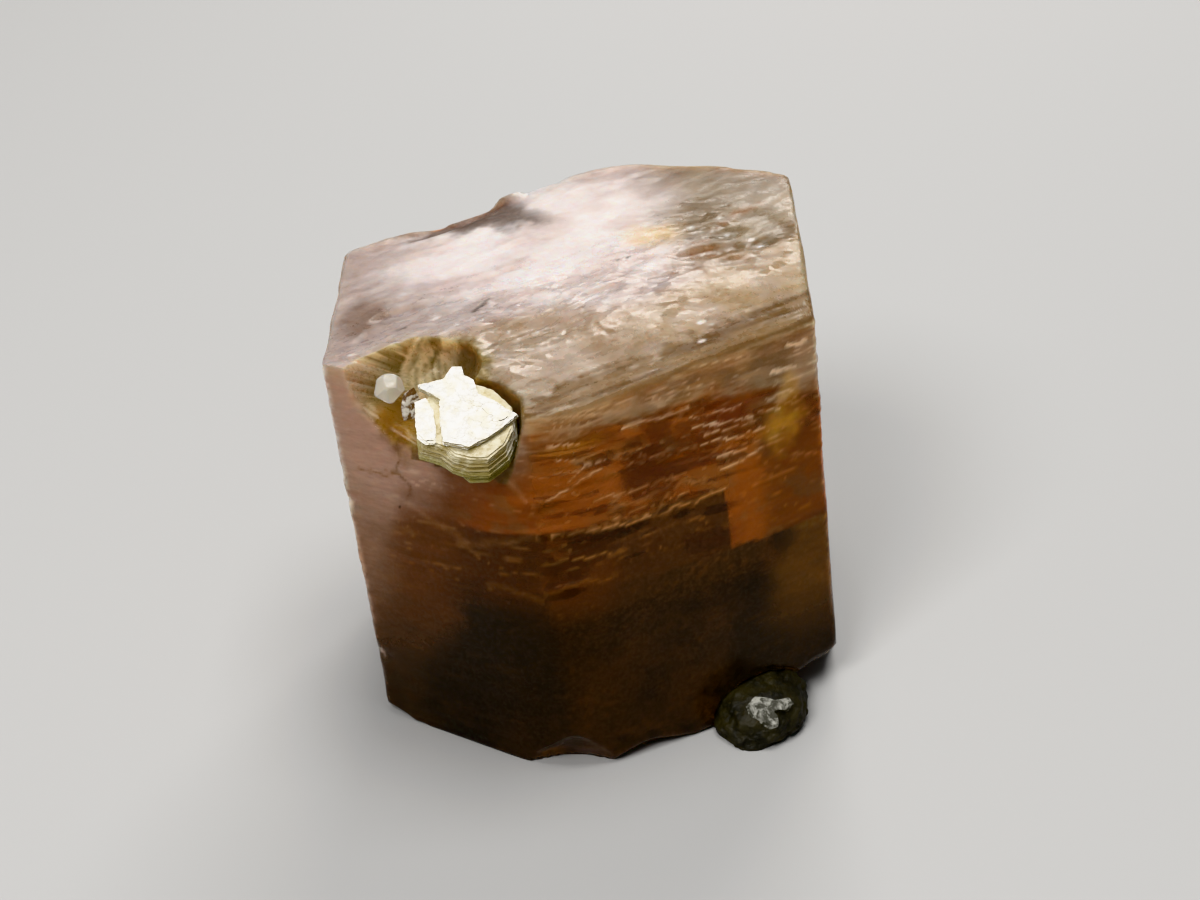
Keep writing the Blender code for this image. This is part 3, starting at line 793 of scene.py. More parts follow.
    # painted highlight: bright lines along the rim
    painted_rim_glint = (1 - ramp(np.abs(rim_lines - 0.12), 0.02, 0.09)) * ramp(perlin(p * (0.5, 0.5, 0.8), 182), 0.0, 0.3) * ramp(-z, -19.4, -19.0)
    painted_rim_glint = np.maximum(painted_rim_glint, 0.8 * (1 - ramp(np.abs(z - 19.0 + 0.2 * shake[:, 1]), 0.03, 0.10)) * ramp(perlin(p * 0.45, 183), -0.1, 0.25))
    lobe = blend(lobe, (0.90, 0.76, 0.60), 0.6 * painted_rim_glint)
    # painted glints on the lobe as well
    lobe = blend(lobe, (0.97, 0.93, 0.88), 0.9 * glint)
    slope = ramp(nz, 0.25, 0.60) * ramp(z, 17.4, 18.6) * (1 - up)
    col = blend(col, lobe, slope)
    clear = clear * (1 - up) + 0.15 * up
    clear = clear * (1 - slope) + 0.40 * slope
    clear *= 1 - 0.8 * glint * high
    rough = rough * (1 - high) + (0.20 + 0.20 * ramp(ripple, -0.4, 0.4)) * high
    busy = high * (0.06 + 0.30 * ramp(perlin(np.stack([u * 0.22, v * 0.32, 0 * u], 1) + 3.0, 64), -0.10, 0.35))
    busy *= (0.35 + 0.65 * ramp(v, -8.0, -5.8)) * (1 - 0.85 * ramp(v, -1.0, 4.0))
    rough = rough + 0.12 * high * ramp(v, -1.0, 5.0)

    # underside and the foot of the crystal, painted dark: painted shade where it stands on the floor
    under = ramp(-nz, 0.40, 0.75)
    col = blend(col, (0.030, 0.018, 0.009), under)
    clear = clear * (1 - under) + 0.10 * under
    rough = rough * (1 - under) + 0.50 * under

    # stained pocket in the upper front-left edge
    k = ((-7.28, -8.80, 19.75), (2.95, 3.15, 3.1))
    inside = spot(p, *k, 1.10, 1.26) * (1 - 0.85 * up * ramp(nz, 0.90, 0.98))
    comb = np.stack([0.55 * x + 0.30 * z - 0.2 * y, 2.0 * x + 1.6 * y - 1.5 * z, 1.4 * x - 1.2 * y + z], 1)
    comb = fbm(comb * (0.9, 1.2, 0.6), 3, 186, 0.6)
    wall = blend((0.21, 0.145, 0.045), (0.68, 0.54, 0.31), ramp(comb, -0.35, 0.40))
    wall = blend(wall, (0.105, 0.055, 0.010), 0.9 * spot(j, (-5.6, -7.4, 18.9), (1.6, 1.5, 1.5), 0.4, 1.1))
    wall = blend(wall, (0.17, 0.115, 0.025), 0.8 * inside * (1 - spot(p, *k, 1.02, 1.14)))
    wall = blend(wall, (0.30, 0.165, 0.025), 0.85 * spot(j, Lf((-3.1, 17.6))[0], (1.3, 1.6, 1.7), 0.3, 1.1))
    wall = blend(wall, (0.60, 0.43, 0.30), 0.75 * ramp(-(x + 0.25 * (y + 9.0) + 0.5 * shake[:, 0]), 9.3, 10.1))
    wall = blend(wall, (0.30, 0.150, 0.012), 0.90 * spot(p + shake * 0.4, (-8.5, -8.4, 17.2), (1.2, 1.6, 1.1), 0.5, 1.2))
    col = blend(col, wall, 0.95 * inside)
    clear = clear * (1 - inside) + 0.18 * inside
    rough = rough * (1 - inside) + 0.30 * inside
    # painted shade in the gap of the seat around the mica book
    w = to_row(p)
    near = near_box(w, BOOK_AT, 3.4)
    b = (w[near] - BOOK_AT) @ BOOK_ROT
    wall_at = polygon_distance(b[:, :2], WIDE_SHEET)
    seat = np.zeros(len(p))
    seat[near] = (1 - ramp(wall_at, 0.10, 0.30)) * ramp(-b[:, 2], -1.2, -0.6)
    col = blend(col, blend((0.085, 0.052, 0.014), (0.17, 0.115, 0.040), ramp(grain, -0.3, 0.3)), 0.9 * seat)
    clear = clear * (1 - seat) + 0.10 * seat
    golden = spot(p + shake * 0.5, face_place("left", -2.75, 17.0), (1.35, 1.35, 2.1), 0.25, 1.1)
    col = blend(col, blend((0.20, 0.095, 0.012), (0.36, 0.22, 0.045), ramp(grain, -0.3, 0.3)), 0.85 * golden)
    clear -= 0.2 * golden
    for points, colour in (
        (Lf((-2.5, 17.0), (-2.75, 16.2), (-3.1, 14.8), (-2.7, 14.0), (-2.9, 13.3)), (0.13, 0.055, 0.012)),
        (Lf((-5.3, 14.7), (-4.2, 14.65), (-3.1, 14.8)), (0.24, 0.11, 0.018)),
    ):
        a = stroke(onto_faces(p, n, p + shake * 0.35), points, 0.0, 0.22) * (0.4 + 0.6 * ramp(grain, -0.4, 0.2))
        col = blend(col, colour, 0.8 * a)
        clear -= 0.2 * a
    col = blend(col, (0.01, 0.006, 0.003), spot(p, Lf((-3.4, 12.8))[0], (0.11,) * 3, 0.5, 1.0))
    for place, size in ((Lf((-6.3, 12.5))[0], (0.4, 0.5, 0.28)), (Lf((-6.15, 3.5))[0], (0.3, 0.4, 0.40))):
        a = spot(p + shake * 0.5, place, size, 0.2, 1.1)
        col = blend(col, (0.80, 0.66, 0.55), 0.6 * a)
        clear -= 0.4 * a
    relief = -0.035 * crack_and_glint_streak - 0.012 * thread
    # the stained right part of the top, the painted-shade band along the back rim and a patch on the left shine less
    dull = np.maximum(0.75 * ramp(qx + 0.10 * qy, 3.0, 8.0), 0.45 * brown)
    dull = np.maximum(dull, 0.40 * spot(p, (-9.6, -1.5, 20.0), (2.6, 4.0, 9), 0.4, 1.1))
    gloss = 0.5 * (1 - high * dull * (1 - glint))
    finish = np.stack([np.clip(clear, 0, 1), np.clip(rough, 0.05, 0.7), np.clip(busy, 0, 1), np.clip(gloss, 0, 1)], 1)
    return np.clip(col, 0.002, 0.98), finish, relief


def mesh_object(name, pts_mm, quads, tris, smooth=True):
    """A mesh from points in row millimetres."""
    me = bpy.data.meshes.new(name)
    faces = [tuple(map(int, f)) for f in quads] + [tuple(map(int, f)) for f in tris]
    me.from_pydata((pts_mm * MM).tolist(), [], faces)
    me.validate()
    me.update()
    if smooth:
        me.shade_smooth()
    ob = bpy.data.objects.new(name, me)
    bpy.context.scene.collection.objects.link(ob)
    return ob


def paint(ob, name, values):
    """Stores a value for each vertex, for the material to read."""
    v = np.ones((len(values), 4), np.float32)
    v[:, :values.shape[1]] = values
    a = ob.data.attributes.new(name, "FLOAT_COLOR", "POINT")
    a.data.foreach_set("color", v.ravel())


def make_crystal():
    ideal, quads, tris = crystal_points()
    centre = np.array([0.0, 0.0, 9.5])
    p = first_exit(centre, ideal, solid)
    n = vertex_normals(p, quads, tris)
    row, ledge_glint = crystal_detail(p, n)
    col, finish, relief = crystal_look(p, n, ledge_glint)
    row = row + (n @ ROT.T) * relief[:, None]
    row[:, 2] = np.maximum(row[:, 2], 0.0)
    ob = mesh_object("crystal", row, quads, tris)
    paint(ob, "tint", col)
    paint(ob, "finish", finish)
    return ob


# --------------------------------------------------------------------------
# materials
class Graph:
    """Short names for building a node material."""

    def __init__(self, name):
        self.m = bpy.data.materials.new(name)
        self.m.use_nodes = True
        self.t = self.m.node_tree
        self.t.nodes.clear()
        self.out = self.t.nodes.new("ShaderNodeOutputMaterial")

    def new(self, kind, **kw):
        n = self.t.nodes.new(kind)
        for k, v in kw.items():
            setattr(n, k, v)
        return n

    def put(self, socket, v):
        if isinstance(v, bpy.types.NodeSocket):
            self.t.links.new(v, socket)
        elif v is not None:
            if hasattr(socket.default_value, "__len__") and not hasattr(v, "__len__"):
                v = (v,) * len(socket.default_value)
            if hasattr(v, "__len__") and len(v) == 3 and len(socket.default_value) == 4:
                v = (*v, 1)
            socket.default_value = v

    def math(self, op, a, b=None, c=None, clamp=False):
        n = self.new("ShaderNodeMath", operation=op, use_clamp=clamp)
        for i, v in enumerate((a, b, c)):
            if v is not None:
                self.put(n.inputs[i], v)
        return n.outputs[0]

    def vec(self, op, a, b=None, scale=None):
        n = self.new("ShaderNodeVectorMath", operation=op)
        self.put(n.inputs[0], a)
        if b is not None:
            self.put(n.inputs[1], b)
        if scale is not None:
            self.put(n.inputs["Scale"], scale)
        return n.outputs["Value"] if op in ("LENGTH", "DOT_PRODUCT", "DISTANCE") else n.outputs["Vector"]

    def mix(self, f, a, b, blend="MIX"):
        n = self.new("ShaderNodeMix", data_type="RGBA", blend_type=blend)
        self.put(n.inputs[0], f)
        self.put(n.inputs[6], a)
        self.put(n.inputs[7], b)
        return n.outputs[2]

    def mixf(self, f, a, b):
        n = self.new("ShaderNodeMix", data_type="FLOAT")
        self.put(n.inputs[0], f)
        self.put(n.inputs[2], a)
        self.put(n.inputs[3], b)
        return n.outputs[0]

    def smooth(self, v, lo, hi, a=0.0, b=1.0):
        n = self.new("ShaderNodeMapRange", interpolation_type="SMOOTHSTEP")
        self.put(n.inputs[0], v)
        for i, x in zip((1, 2, 3, 4), (lo, hi, a, b)):
            self.put(n.inputs[i], x)
        return n.outputs[0]

    def ramp(self, v, stops, interpolation="LINEAR"):
        n = self.new("ShaderNodeValToRGB")
        n.color_ramp.interpolation = interpolation
        e = n.color_ramp.elements
        while len(e) < len(stops):
            e.new(1.0)
        for el, (pos, col) in zip(e, stops):
            el.position = pos
            el.color = (*col, 1) if hasattr(col, "__len__") else (col, col, col, 1)
        self.put(n.inputs[0], v)
        return n.outputs[0]

    def noise(self, v, scale, detail=2.0, rough=0.5, distortion=0.0, colour=False):
        n = self.new("ShaderNodeTexNoise")
        self.put(n.inputs["Vector"], v)
        n.inputs["Scale"].default_value = scale
        n.inputs["Detail"].default_value = detail
        n.inputs["Roughness"].default_value = rough
        n.inputs["Distortion"].default_value = distortion
        return n.outputs["Color" if colour else "Fac"]

    def voronoi(self, v, scale, feature="F1", randomness=1.0, out="Distance"):
        n = self.new("ShaderNodeTexVoronoi", feature=feature)
        self.put(n.inputs["Vector"], v)
        n.inputs["Scale"].default_value = scale
        n.inputs["Randomness"].default_value = randomness
        return n.outputs[out]

    def sep(self, v):
        n = self.new("ShaderNodeSeparateXYZ")
        self.put(n.inputs[0], v)
        return n.outputs

    def comb(self, x, y, z):
        n = self.new("ShaderNodeCombineXYZ")
        for i, v in enumerate((x, y, z)):
            self.put(n.inputs[i], v)
        return n.outputs[0]

    def stretch(self, v, scale, turn=(0, 0, 0)):
        n = self.new("ShaderNodeMapping")
        self.put(n.inputs["Vector"], v)
        n.inputs["Scale"].default_value = scale
        n.inputs["Rotation"].default_value = turn
        return n.outputs[0]

    def crystal_place(self):
        """Place in the crystal's own frame, in millimetres."""
        tc = self.new("ShaderNodeTexCoord")
        n = self.new("ShaderNodeMapping", vector_type="TEXTURE")
        self.put(n.inputs["Vector"], tc.outputs["Object"])
        n.inputs["Location"].default_value = tuple(FOOT * MM)
        n.inputs["Rotation"].default_value = (0, LEAN, 0)
        n.inputs["Scale"].default_value = (MM, MM, MM)
        return n.outputs[0]

    def row_place(self):
        tc = self.new("ShaderNodeTexCoord")
        n = self.new("ShaderNodeMapping", vector_type="TEXTURE")
        self.put(n.inputs["Vector"], tc.outputs["Object"])
        n.inputs["Scale"].default_value = (MM, MM, MM)
        return n.outputs[0]

    def bump(self, height, strength=1.0, distance=0.0001, normal=None):
        n = self.new("ShaderNodeBump")
        self.put(n.inputs["Strength"], strength)
        n.inputs["Distance"].default_value = distance
        self.put(n.inputs["Height"], height)
        if normal is not None:
            self.put(n.inputs["Normal"], normal)
        return n.outputs[0]

    def principled(self, **kw):
        n = self.new("ShaderNodeBsdfPrincipled")
        for k, v in kw.items():
            self.put(n.inputs[k.replace("_", " ")], v)
        return n

    def surface(self, shader):
        self.put(self.out.inputs["Surface"], shader)

    def blob(self, place, centre, radii, lo=0.6, hi=1.1):
        """1 near a place, falling to 0 away from it."""
        d = self.vec("SUBTRACT", place, centre)
        d = self.vec("DIVIDE", d, radii)
        return self.smooth(self.vec("LENGTH", d), lo, hi, 1.0, 0.0)


def crystal_material():
    g = Graph("apatite")
    P = g.crystal_place()
    tint = g.new("ShaderNodeAttribute", attribute_name="tint").outputs["Color"]
    finish = g.new("ShaderNodeAttribute", attribute_name="finish").outputs
    clear, rough, busy = g.sep(finish["Color"])
    geo = g.new("ShaderNodeNewGeometry")
    x, y, z = g.sep(P)
    rise = g.math("ADD", g.math("MULTIPLY", x, 0.078), g.math("MULTIPLY", y, 0.045))
    along = g.comb(g.math("MULTIPLY", x, 0.30), g.math("MULTIPLY", y, 0.30), g.math("ADD", z, rise))
    # growth lines finer than the mesh, and a fine grain
    fine = g.noise(along, 5.0, 3, 0.65)
    grain = g.noise(P, 4.5, 3, 0.7)
    col = g.mix(g.smooth(fine, 0.32, 0.68, 0.20, 0.0), tint, g.mix(0.6, tint, (0.0, 0.0, 0.0)))
    col = g.mix(g.smooth(grain, 0.38, 0.66, 0.0, 0.10), col, g.mix(0.5, col, (1.0, 0.90, 0.78)))
    rough = g.math("ADD", rough, g.math("MULTIPLY", g.math("SUBTRACT", grain, 0.5), 0.25), clamp=True)
    height = g.math("ADD", g.math("MULTIPLY", fine, 0.55), g.math("MULTIPLY", grain, 0.45))
    normal = g.bump(height, 0.30, 0.00006)
    # tiny cleavage facets that glint on the top
    facets = g.voronoi(g.stretch(P, (0.55, 1.4, 1.4), (0, 0, math.radians(-28))), 2.6, out="Color")
    facets = g.vec("SUBTRACT", facets, (0.5, 0.5, 0.5))
    normal = g.vec("NORMALIZE", g.vec("ADD", normal, g.vec("SCALE", facets, scale=busy)))
    s = g.principled(
        Base_Color=col, Roughness=rough, IOR=1.634, Transmission_Weight=clear,
        Subsurface_Weight=g.mixf(geo.outputs["Backfacing"], 0.75, 0.0), Subsurface_Radius=(0.0038, 0.0023, 0.0015),
        Subsurface_Scale=1.0, Specular_IOR_Level=finish["Alpha"], Specular_Tint=(0.42, 0.36, 0.30), Normal=normal,
    )
    g.surface(s.outputs[0])
    v = g.new("ShaderNodeVolumeAbsorption")
    v.inputs["Color"].default_value = (0.77, 0.50, 0.10, 1)
    v.inputs["Density"].default_value = 80.0
    g.put(g.out.inputs["Volume"], v.outputs[0])
    return g.m


def crack_material():
    g = Graph("healed_crack")
    P = g.row_place()
    n = g.noise(P, 1.6, 4, 0.65)
    tint = g.noise(P, 0.35, 3, 0.5)
    col = g.mix(g.smooth(tint, 0.38, 0.62), (0.78, 0.52, 0.28), (0.62, 0.24, 0.06))
    s = g.principled(Base_Color=col, Roughness=0.35, IOR=1.2, Alpha=g.smooth(n, 0.34, 0.56, 0.03, 0.65))
    g.surface(s.outputs[0])
    return g.m


def make_cracks():
    """Thin healed cracks lying across the crystal just under its right face, and larger ones deeper in."""
    rng = np.random.default_rng(17)
    sets = []

    def sheet(centre, along, inward, a, b, seed, thick=0.02):
        up = np.cross(along, inward)
        up /= np.linalg.norm(up)
        if up[2] < 0:
            up = -up
            inward = -inward
        k = np.linspace(0, 2 * np.pi, 15)[:-1]
        r = 1 + 0.28 * np.sin(k * 2 + seed) + rng.uniform(-0.22, 0.22, len(k))
        outline = np.stack([a * r * np.cos(k), b * r * np.sin(k)], 1)
        q, quads, tris = sheet_points(outline, -thick, thick, 200 + seed, 44, 5, 0.10 * b, 0.05)
        M = np.stack([along / np.linalg.norm(along), inward / np.linalg.norm(inward), up], 1)
        if np.linalg.det(M) < 0:
            M[:, 1] *= -1
        sets.append((q @ M.T + centre, quads, tris))

    n = np.array([0.5, -0.866, 0])
    t = np.array([0.866, 0.5, 0])
    placed = [(-2.6, 16.6, 1.5), (1.6, 14.5, 1.9), (2.2, 13.9, 2.2), (2.6, 13.1, 1.5), (1.8, 12.7, 1.3), (-5.0, 15.2, 1.3),
              (-3.9, 11.8, 3.2), (-0.9, 11.7, 1.6), (-6.2, 13.0, 1.4), (-6.6, 16.0, 1.1), (4.2, 14.6, 0.9), (3.9, 15.6, 1.0)]
    for i in range(46):
        if i < len(placed):
            s, z, a = placed[i]
            depth = 0.45
        else:
            s, z, a = rng.uniform(-7, 4.6), rng.uniform(9.5, 17.6), rng.uniform(0.4, 1.5)
            depth = rng.uniform(0.4, 2.4)
        a = min(a, (5.4 - s) * 0.8)
        b = a * rng.uniform(0.18, 0.35)
        depth = max(depth, b + 0.35)
        along = t + np.array([0, 0, rng.uniform(-0.16, -0.02)]) + n * rng.uniform(-0.15, 0.15)
        inward = -n + np.array([0, 0, rng.uniform(-0.25, 0.35)])
        inward -= along * (inward @ along) / (along @ along)
        sheet(face_place("right", s, z, depth), along, inward, a, b, i)
    for i in range(12):
        ang = rng.uniform(0, 2 * np.pi)
        r = rng.uniform(1.0, 6.0)
        c = np.array([r * math.cos(ang), r * math.sin(ang), rng.uniform(5.0, 15.5)])
        along = rng.normal(size=3) * (1, 1, 0.35)
        along /= np.linalg.norm(along)
        inward = np.cross(along, rng.normal(size=3) * (0.5, 0.5, 1.0))
        sheet(c, along, inward, rng.uniform(1.6, 3.2), rng.uniform(1.0, 2.0), 60 + i, 0.03)
    p, q, tr = join_sets(sets)
    return mesh_object("healed_cracks", to_row(p), q, tr)


# --------------------------------------------------------------------------
# mica
def sheet_points(outline, z0, z1, seed, count=120, rings=7, ragged=0.03, wave=0.03):
    """A thin plate with a slightly torn edge and a gently waving face, in its own frame."""
    v = np.array(outline)
    e = np.roll(v, -1, 0) - v
    L = np.concatenate([[0], np.cumsum(np.sqrt((e * e).sum(1)))])
    closed = np.vstack([v, v[:1]])
    s = np.linspace(0, L[-1], count, endpoint=False)
    rim = np.stack([np.interp(s, L, closed[:, 0]), np.interp(s, L, closed[:, 1])], 1)
    k = np.column_stack([rim * 2.6, np.full(count, seed * 3.1)])
    mid = rim.mean(0)
    d = rim - mid
    d /= np.sqrt((d * d).sum(1))[:, None]
    rim = rim + d * (ragged * (perlin(k, seed) + 0.6 * perlin(k * 3.1, seed + 9)))[:, None]
    pts, quads, tris = [], [], []
    levels = [1 - i / rings for i in range(rings)]
    for z, side in ((z1, 1), (z0, -1)):
        base = len(np.concatenate(pts)) if pts else 0
        for f in levels:
            q = mid + (rim - mid) * f
            h = wave * perlin(np.column_stack([q * 0.9, np.full(count, seed * 1.7)]), 77 + seed)
            pts.append(np.column_stack([q, np.full(count, z) + h]))
        h = wave * perlin(np.array([[*(mid * 0.9), seed * 1.7]]), 77 + seed)
        pts.append(np.array([[*mid, z + h[0]]]))
        for r in range(rings - 1):
            a = base + r * count + np.arange(count)
            b = base + r * count + (np.arange(count) + 1) % count
            q = np.stack([a, b, b + count, a + count], 1)
            quads.append(q if side > 0 else q[:, ::-1])
        a = base + (rings - 1) * count + np.arange(count)
        b = base + (rings - 1) * count + (np.arange(count) + 1) % count
        t = np.stack([a, b, np.full(count, base + rings * count)], 1)
        tris.append(t if side > 0 else t[:, ::-1])
    low = rings * count + 1
    a = np.arange(count)
    b = (np.arange(count) + 1) % count
    quads.append(np.stack([low + a, low + b, b, a], 1))
    return np.concatenate(pts), np.concatenate(quads), np.concatenate(tris)


def join_sets(sets):
    pts, quads, tris, n = [], [], [], 0
    for p, q, t in sets:
        pts.append(p)
        quads.append(np.asarray(q) + n)
        tris.append(np.asarray(t) + n)
        n += len(p)
    return np.concatenate(pts), np.concatenate(quads), np.concatenate(tris)


def scaled(outline, f, dx=0.0, dy=0.0):
    return [(x * f + dx, y * f + dy) for x, y in outline]


def make_book():
    sets = []
    rng = np.random.default_rng(5)
    low_sheet = [(-0.48, -2.0), (-0.10, -2.50), (0.80, -2.56), (1.78, -1.80), (2.28, -0.80), (2.34, 0.40),
                 (1.50, 1.50), (0.20, 2.10), (-0.70, 1.20), (-0.62, -0.60)]
    # wide sheets stepping back as they rise; the lowest end short on the left
    z, k = -1.74, 0
    while z < -0.44:
        t = float(rng.uniform(0.045, 0.11))
        rise = (z + 1.74) / 1.30
        rise = (math.floor(rise * 5) + 0.25 * (rise * 5 % 1.0)) / 5
        if z < -1.42:
            sets.append(sheet_points(scaled(low_sheet, 0.985 - 0.02 * k), z, z + t * 0.9, 10 + k, 130, 5, 0.04, 0.012))
        else:
            f = 1.0 - 0.155 * rise + float(rng.uniform(-0.006, 0.004))
            sets.append(sheet_points(scaled(WIDE_SHEET, min(f, 1.0), float(rng.uniform(-0.02, 0.02)), float(rng.uniform(-0.02, 0.03))),
                                     z, z + t * 0.9, 10 + k, 130, 5, 0.035, 0.012))
        z += t
        k += 1
    for f, z0, z1, dy in ((0.868, -0.43, -0.36, 0.04), (0.862, -0.35, -0.29, 0.05), (0.835, -0.28, -0.215, 0.08)):
        sets.append(sheet_points(scaled(WIDE_SHEET, f, 0.03, dy), z0, z1, 40 + k, 130, 5, 0.04, 0.02))
        k += 1
    for f, z0, z1 in ((1.015, -0.20, -0.14), (1.0, -0.13, -0.06), (1.005, -0.05, 0.01), (0.99, 0.02, 0.09)):
        sets.append(sheet_points(scaled(TOP_SHEET, f), z0, z1, 60 + k, 190, 9, 0.045, 0.055))
        k += 1
    # the upright strip along the left side
    strip = [(-2.22, 0.95), (-2.28, 0.20), (-2.27, -0.90), (-1.95, -1.28), (-1.50, -1.30), (-1.42, -0.40), (-1.46, 0.50), (-1.72, 1.10)]
    for f, z0, z1 in ((1.0, -0.21, -0.16), (0.93, -0.15, -0.10), (0.84, -0.09, -0.05)):
        sets.append(sheet_points([(-1.85 + (x + 1.85) * f, -0.1 + (y + 0.1) * f) for x, y in strip], z0, z1, 80 + k, 110, 6, 0.05, 0.03))
        k += 1
    # thin flakes lifted on the right of the top sheet
    for i, (cx, cy, a, b, turn) in enumerate(((1.25, 0.05, 0.62, 0.30, -30), (0.85, -0.45, 0.50, 0.22, 12), (1.45, -0.28, 0.42, 0.17, 25),
                                              (0.45, 0.62, 0.36, 0.22, -50), (-0.55, -1.05, 0.34, 0.18, 5))):
        c, s_ = math.cos(math.radians(turn)), math.sin(math.radians(turn))
        q = [(cx + c * a * math.cos(t) - s_ * b * math.sin(t), cy + s_ * a * math.cos(t) + c * b * math.sin(t))
             for t in np.linspace(0, 2 * math.pi, 10)[:-1]]
        sets.append(sheet_points(q, 0.10 + 0.002 * i, 0.125 + 0.004 * i, 150 + i, 50, 4, 0.07, 0.05))
    p, q, t = join_sets(sets)
    return mesh_object("mica_sheets", p @ BOOK_ROT.T + BOOK_AT, q, t, smooth=False)


def mica_material():
    """Silvery on the top sheets, olive and golden on the stack below them."""
    g = Graph("mica")
    tc = g.new("ShaderNodeTexCoord")
    m = g.new("ShaderNodeMapping", vector_type="TEXTURE")
    g.put(m.inputs["Vector"], tc.outputs["Object"])
    m.inputs["Location"].default_value = tuple(BOOK_AT * MM)
    m.inputs["Rotation"].default_value = (math.radians(30), 0, math.radians(8))
    m.inputs["Scale"].default_value = (MM, MM, MM)
    B = m.outputs[0]
    bx, by, bz = g.sep(B)
    n = g.new("ShaderNodeNewGeometry").outputs["Normal"]
    facing = g.vec("DOT_PRODUCT", n, tuple(float(v) for v in BOOK_ROT[:, 2]))
    flatness = g.smooth(facing, 0.45, 0.85)
    streak = g.noise(B, 1.9, 4, 0.6)
    fine = g.noise(B, 8.0, 3, 0.6)
    layers = g.noise(g.comb(g.math("MULTIPLY", bx, 0.4), g.math("MULTIPLY", by, 0.4), g.math("MULTIPLY", bz, 4.6)), 1.0, 3, 0.6)
    gold = g.mix(g.smooth(layers, 0.36, 0.62), (0.27, 0.195, 0.055), (0.64, 0.54, 0.29))
    gold = g.mix(g.smooth(streak, 0.50, 0.68, 0.0, 0.6), gold, (0.80, 0.74, 0.50))
    gold = g.mix(g.math("MULTIPLY", g.smooth(facing, 0.45, 0.8), 0.72), gold, g.mix(g.smooth(streak, 0.42, 0.62), (0.52, 0.43, 0.20), (0.82, 0.76, 0.54)))
    gold = g.mix(g.math("MULTIPLY", g.smooth(bz, -1.36, -0.85, 1.0, 0.0), 0.72), gold, (0.31, 0.27, 0.065))
    top_sheets = g.smooth(bz, -0.208, -0.195)
    white = g.math("MULTIPLY", top_sheets, g.smooth(facing, 0.2, 0.6))
    face = g.mix(g.smooth(streak, 0.42, 0.66), (0.90, 0.89, 0.86), (0.64, 0.61, 0.51))
    # fine grey wrinkles and small olive spots, and a grey patch at the left of the top sheet that is painted shade
    wr = g.noise(g.stretch(B, (0.8, 1.6, 1.0), (0, 0, math.radians(-28))), 1.5, 4, 0.65)
    wr = g.smooth(g.math("ABSOLUTE", g.math("SUBTRACT", wr, 0.5)), 0.006, 0.030, 1.0, 0.0)
    face = g.mix(g.math("MULTIPLY", wr, g.smooth(bx, -1.0, 0.8, 0.25, 0.85)), face, (0.36, 0.33, 0.26))
    face = g.mix(g.math("MULTIPLY", g.smooth(fine, 0.66, 0.72), g.smooth(bx, 0.2, 1.2, 0.0, 0.7)), face, (0.40, 0.36, 0.14))
    face = g.mix(g.blob(B, (-1.62, 1.55, 0.0), (0.42, 0.30, 0.4), 0.5, 1.0), face, (0.46, 0.46, 0.45))
    col = g.mix(white, gold, face)
    s = g.principled(
        Base_Color=col, Roughness=g.mixf(fine, 0.14, 0.36), IOR=1.59, Metallic=g.math("MULTIPLY", white, 0.25),
        Coat_Weight=g.mixf(white, 0.12, 0.6), Coat_Roughness=0.08,
        Normal=g.bump(g.noise(B, 2.6, 5, 0.62), 0.5, 0.00006, g.bump(wr, 0.3, 0.00003)),
    )
    g.surface(s.outputs[0])
    return g.m


def flake_material():
    g = Graph("stained_mica")
    P = g.row_place()
    a = g.noise(g.stretch(P, (2.6, 0.5, 2.6), (0, math.radians(40), 0)), 1.3, 3, 0.6)
    col = g.mix(g.smooth(a, 0.40, 0.60), (0.16, 0.085, 0.035), (0.85, 0.80, 0.72))
    s = g.principled(Base_Color=col, Roughness=0.22, IOR=1.59, Coat_Weight=0.5, Coat_Roughness=0.08,
                     Normal=g.bump(a, 0.8, 0.0001))
    g.surface(s.outputs[0])
    return g.m


# --------------------------------------------------------------------------
# rounded pieces
def ball_points(level):
    bm = bmesh.new()
    bmesh.ops.create_icosphere(bm, subdivisions=level, radius=1.0)
    v = np.array([x.co for x in bm.verts])
    f = np.array([[x.index for x in face.verts] for face in bm.faces])
    bm.free()
    return v / np.sqrt((v * v).sum(1))[:, None], f


def lump_object(name, shape, level, relief, floor=False):
    (c, r, turn) = shape
    n, f = ball_points(level)
    r = np.array(r)
    t = math.radians(turn)
    spin = np.array([[math.cos(t), -math.sin(t), 0], [math.sin(t), math.cos(t), 0], [0, 0, 1]])
    q = n * r * (1 + relief(n))[:, None]
    w = q @ spin.T + np.array(c) + MIDDLE
    if floor:
        w[:, 2] = np.maximum(w[:, 2], 0.0)
    return mesh_object(name, w, np.zeros((0, 4), int), f)


def make_knob():
    def relief(n):
        F1, F2, off, rnd = cells(n * 2.6, 71)
        return 0.10 * perlin(n * 1.7 + 5.0, 72) + 0.05 * (off * rnd).sum(1) + 0.05 * perlin(n * 5.0, 73) + 0.025 * perlin(n * 12.0, 74)

    return lump_object("matrix_lump", KNOB, 6, relief, floor=True)


def make_grain():
    def relief(n):
        # flat faces meeting in blunt edges
        out = np.full(len(n), 9.0)
        for a, b, c, d in [(0.1, -0.5, 0.85, 0.93), (-0.8, -0.3, 0.5, 0.90), (0.75, -0.45, 0.45, 0.92), (0.0, -0.98, -0.1, 0.93), (-0.5, -0.85, -0.15, 0.95),
                           (0.9, 0.3, -0.1, 0.95), (-0.9, 0.4, 0.1, 0.95), (0.2, 0.9, 0.4, 0.93), (0.6, -0.5, -0.6, 0.95), (-0.6, -0.2, -0.8, 0.95)]:
            k = np.array([a, b, c]) / math.sqrt(a * a + b * b + c * c)
            h = n @ k
            out = np.minimum(out, np.where(h > 0.2, d / np.maximum(h, 0.2), 9.0))
        return np.minimum(out, 1.12) - 1.0 + 0.02 * perlin(n * 3.0, 76) + 0.012 * perlin(n * 7, 77)

    return lump_object("translucent_grain", GRAIN, 5, relief)


